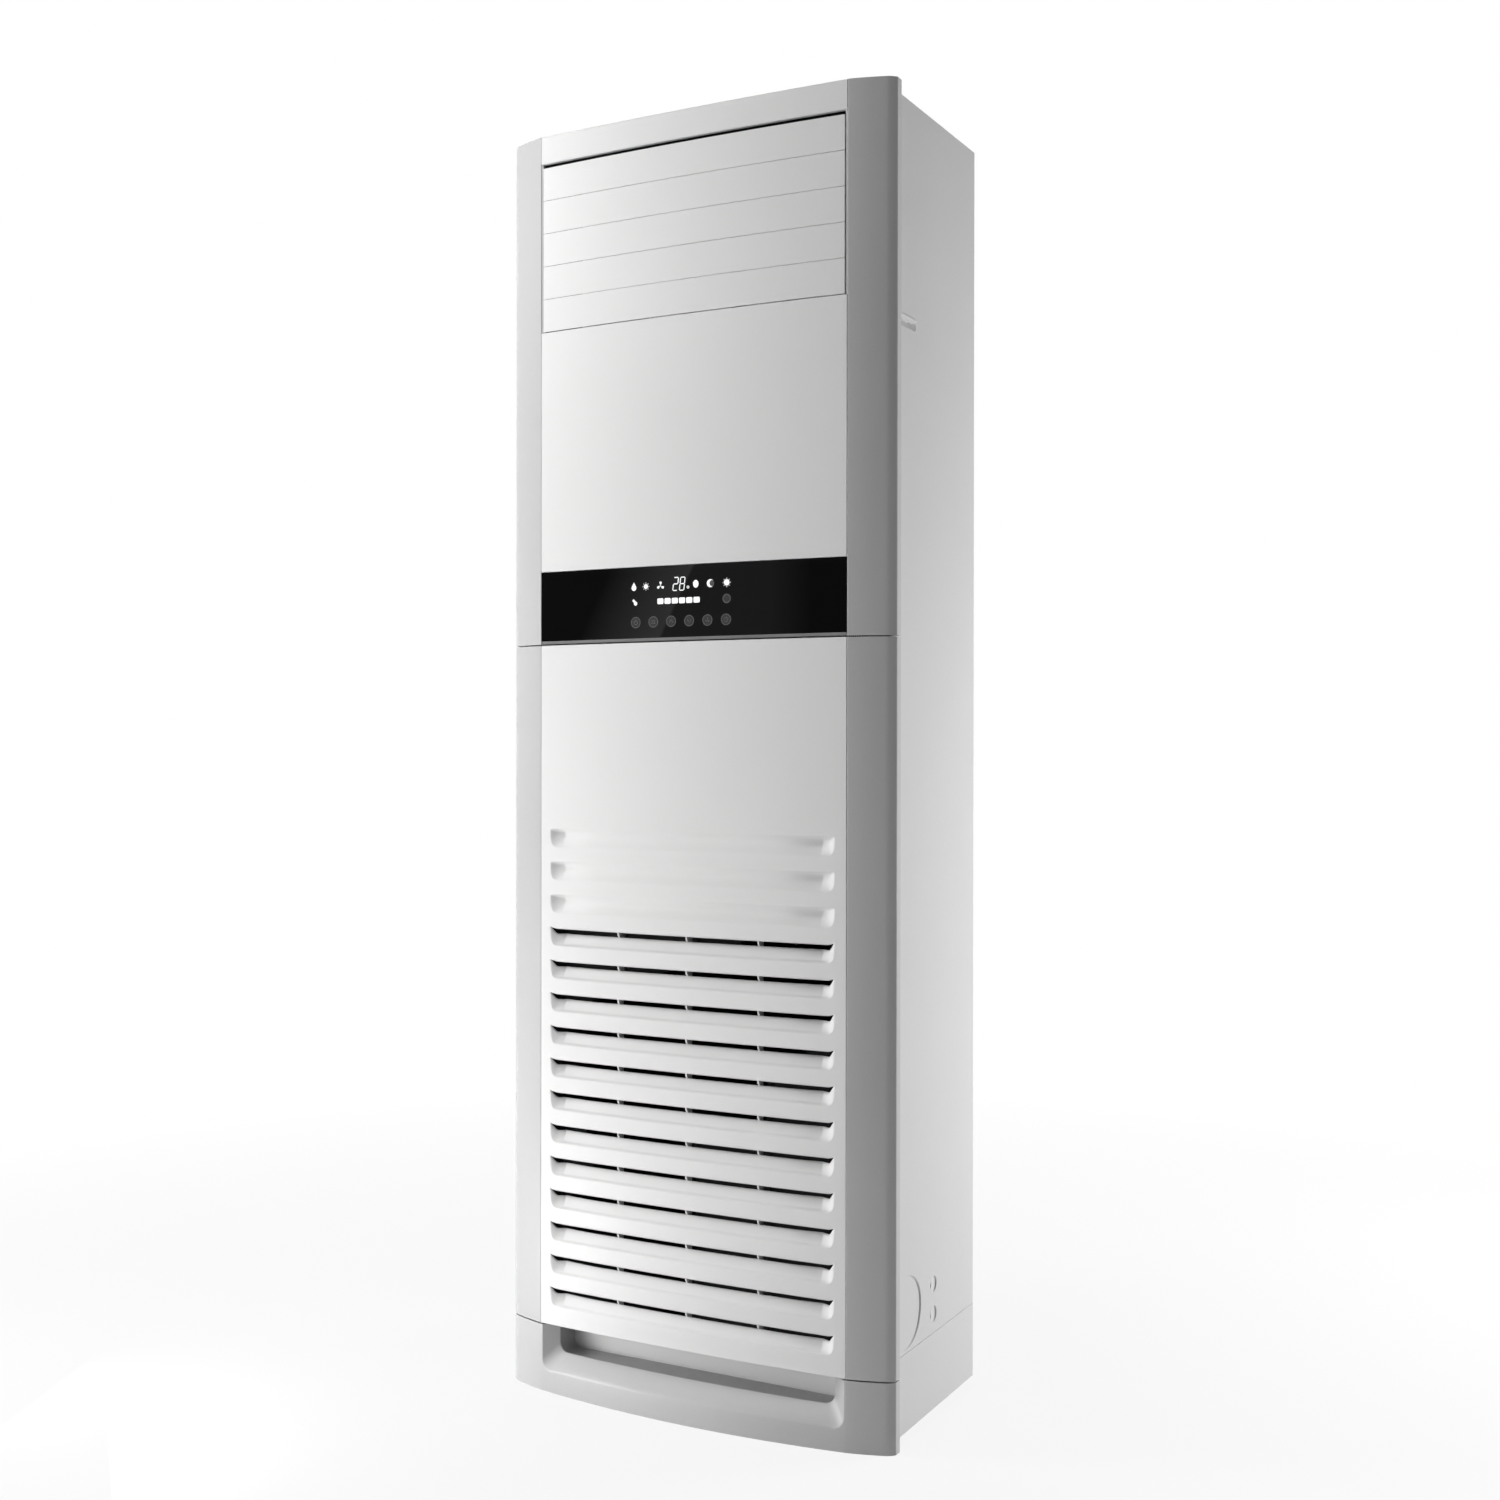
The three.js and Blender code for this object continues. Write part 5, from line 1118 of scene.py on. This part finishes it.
def side_panel_shell():
    """Folded side panel with its grip slot and the tilted knock-out discs."""
    z0, z1, near, far = PLINTH_TOP + 0.6, CASE_TOP, SIDE_FRONT_D, CASE_D - SHEET - FIT
    shell = Shell()
    outline = [(near + FOLD_R, z0), (far - FOLD_R, z0), (far - FOLD_R, z1), (near + FOLD_R, z1)]
    holes = [rounded_slot(GRIP_D, GRIP_Z, GRIP_H)] + [circle(*knockout) for knockout in KNOCKOUTS]
    edge, grip, *discs = flat_plate(shell, outline, holes)
    grip_floor = rounded_slot((GRIP_D[0] + GRIP_WALL, GRIP_D[1] - GRIP_RUNOUT), GRIP_Z + GRIP_RAISED,
                              GRIP_H - 2 * GRIP_WALL)
    sink(shell, grip, grip_floor, GRIP_SUNK, GRIP_SUNK)
    for (d, z, radius, sides), rim in zip(KNOCKOUTS, discs):
        sink(shell, rim, circle(d, z, radius - KNOCKOUT_SLOPE, sides), *KNOCKOUT_SUNK)
    fold(shell, [edge[0], edge[3]], near, FRONT_FLANGE, -1)
    fold(shell, [edge[1], edge[2]], far, BACK_FLANGE, 1)
    return shell


def bead_shell():
    """Raised bead over the slot high on the casing's right side."""
    shell = Shell()
    shell.tube([shell.add([(CASE_HALF + out * size, depth, BEAD_Z + up * size) for up, out in BEAD_SECTION])
                for depth, size in BEAD_ENDS])
    return shell


def build_side_panels():
    right = side_panel_shell()
    for side, shell in (("right", right), ("left", right.mirrored())):
        sheet = shell.piece(f"side_skin_{side}", "root", "casing", [f"side_panel_{side}"], smooth=False)
        thicken(sheet, SIDE_T)


def build_beads():
    right = bead_shell()
    for side, shell in (("left", right.mirrored()), ("right", right)):
        even_shading(shell.piece(f"slot_bead_{side}", "root", "casing", solid=True))


# ---- studio
def background_rays(made):
    """1 for the rays that see the background itself or its mirror image, 0 for the rest."""
    path = made.node("LightPath").outputs
    seen = path["Is Camera Ray"]
    for ray in ("Is Glossy Ray", "Is Transmission Ray"):
        seen = made.math("MAXIMUM", seen, path[ray])
    return seen


def floor_material():
    """Grey floor that glows white for the camera, fully so away from the object."""
    material = bpy.data.materials.new("studio_floor")
    material.use_nodes = True
    made = Nodes(material.node_tree)
    made.tree.nodes.clear()
    coords = made.node("TexCoord").outputs["Object"]
    distance = made.node("VectorMath", {0: coords}, operation="LENGTH").outputs["Value"]
    glow_share = made.math("MULTIPLY", made.span(distance, *FLOOR_GLOW, *FLOOR_FADE), background_rays(made))
    diffuse = made.node("BsdfDiffuse", {"Color": grey(FLOOR_GREY)}).outputs["BSDF"]
    glow = made.node("Emission").outputs["Emission"]
    mix = made.node("MixShader", {0: glow_share, 1: diffuse, 2: glow}).outputs["Shader"]
    made.node("OutputMaterial", {"Surface": mix})
    return material


def stage_floor():
    size = FLOOR_HALF
    mesh = bpy.data.meshes.new("studio_floor")
    corners = [(-size, -size, 0), (size, -size, 0), (size, size, 0), (-size, size, 0)]
    mesh.from_pydata(corners, [], [(0, 1, 2, 3)])
    mesh.materials.append(floor_material())
    floor = add_object("studio_floor", mesh)


def studio_world():
    world = bpy.data.worlds.new("studio")
    bpy.context.scene.world = world
    world.use_nodes = True
    made = Nodes(world.node_tree)
    background = made.tree.nodes["Background"].inputs
    made.feed(background["Color"], grey(1))
    made.feed(background["Strength"], made.span(background_rays(made), AMBIENT, 1.0, 0.0, 1.0))


def softbox(name, lamp):
    light = bpy.data.lights.new(name, "AREA")
    light.shape = "RECTANGLE"
    light.size, light.size_y = lamp.width, lamp.height
    light.energy = lamp.watts
    box = add_object(name, light)
    box.location = lamp.place
    box.visible_camera = False
    box.visible_glossy = lamp.mirrored
    box.rotation_euler = (Vector(lamp.target) - Vector(lamp.place)).to_track_quat("-Z", "Y").to_euler()


def photo_camera():
    yaw, pitch, roll = map(math.radians, CAMERA_TURN)
    ahead = Vector((-math.sin(yaw) * math.cos(pitch), math.cos(yaw) * math.cos(pitch), math.sin(pitch)))
    right = Vector((math.cos(yaw), math.sin(yaw), 0.0))
    up = right.cross(ahead)
    turned_right = right * math.cos(roll) + up * math.sin(roll)
    turned_up = up * math.cos(roll) - right * math.sin(roll)
    data = bpy.data.cameras.new("photo_camera")
    data.sensor_width, data.lens = SENSOR_W, LENS
    camera = add_object("photo_camera", data)
    turn = Matrix((turned_right, turned_up, -ahead)).transposed().to_4x4()
    camera.matrix_world = Matrix.Translation(CAMERA_PLACE) @ turn
    bpy.context.scene.camera = camera


photo_camera()
stage_floor()
studio_world()
for lamp_name, settings in LAMPS.items():
    softbox(lamp_name, settings)
dress_nodes()
build_stiles()
build_upper_front()
build_blades()
build_grille()
build_display()
build_base_cover()
build_side_panels()
build_screws()
build_beads()

bpy.context.scene.view_settings.view_transform = "Standard"
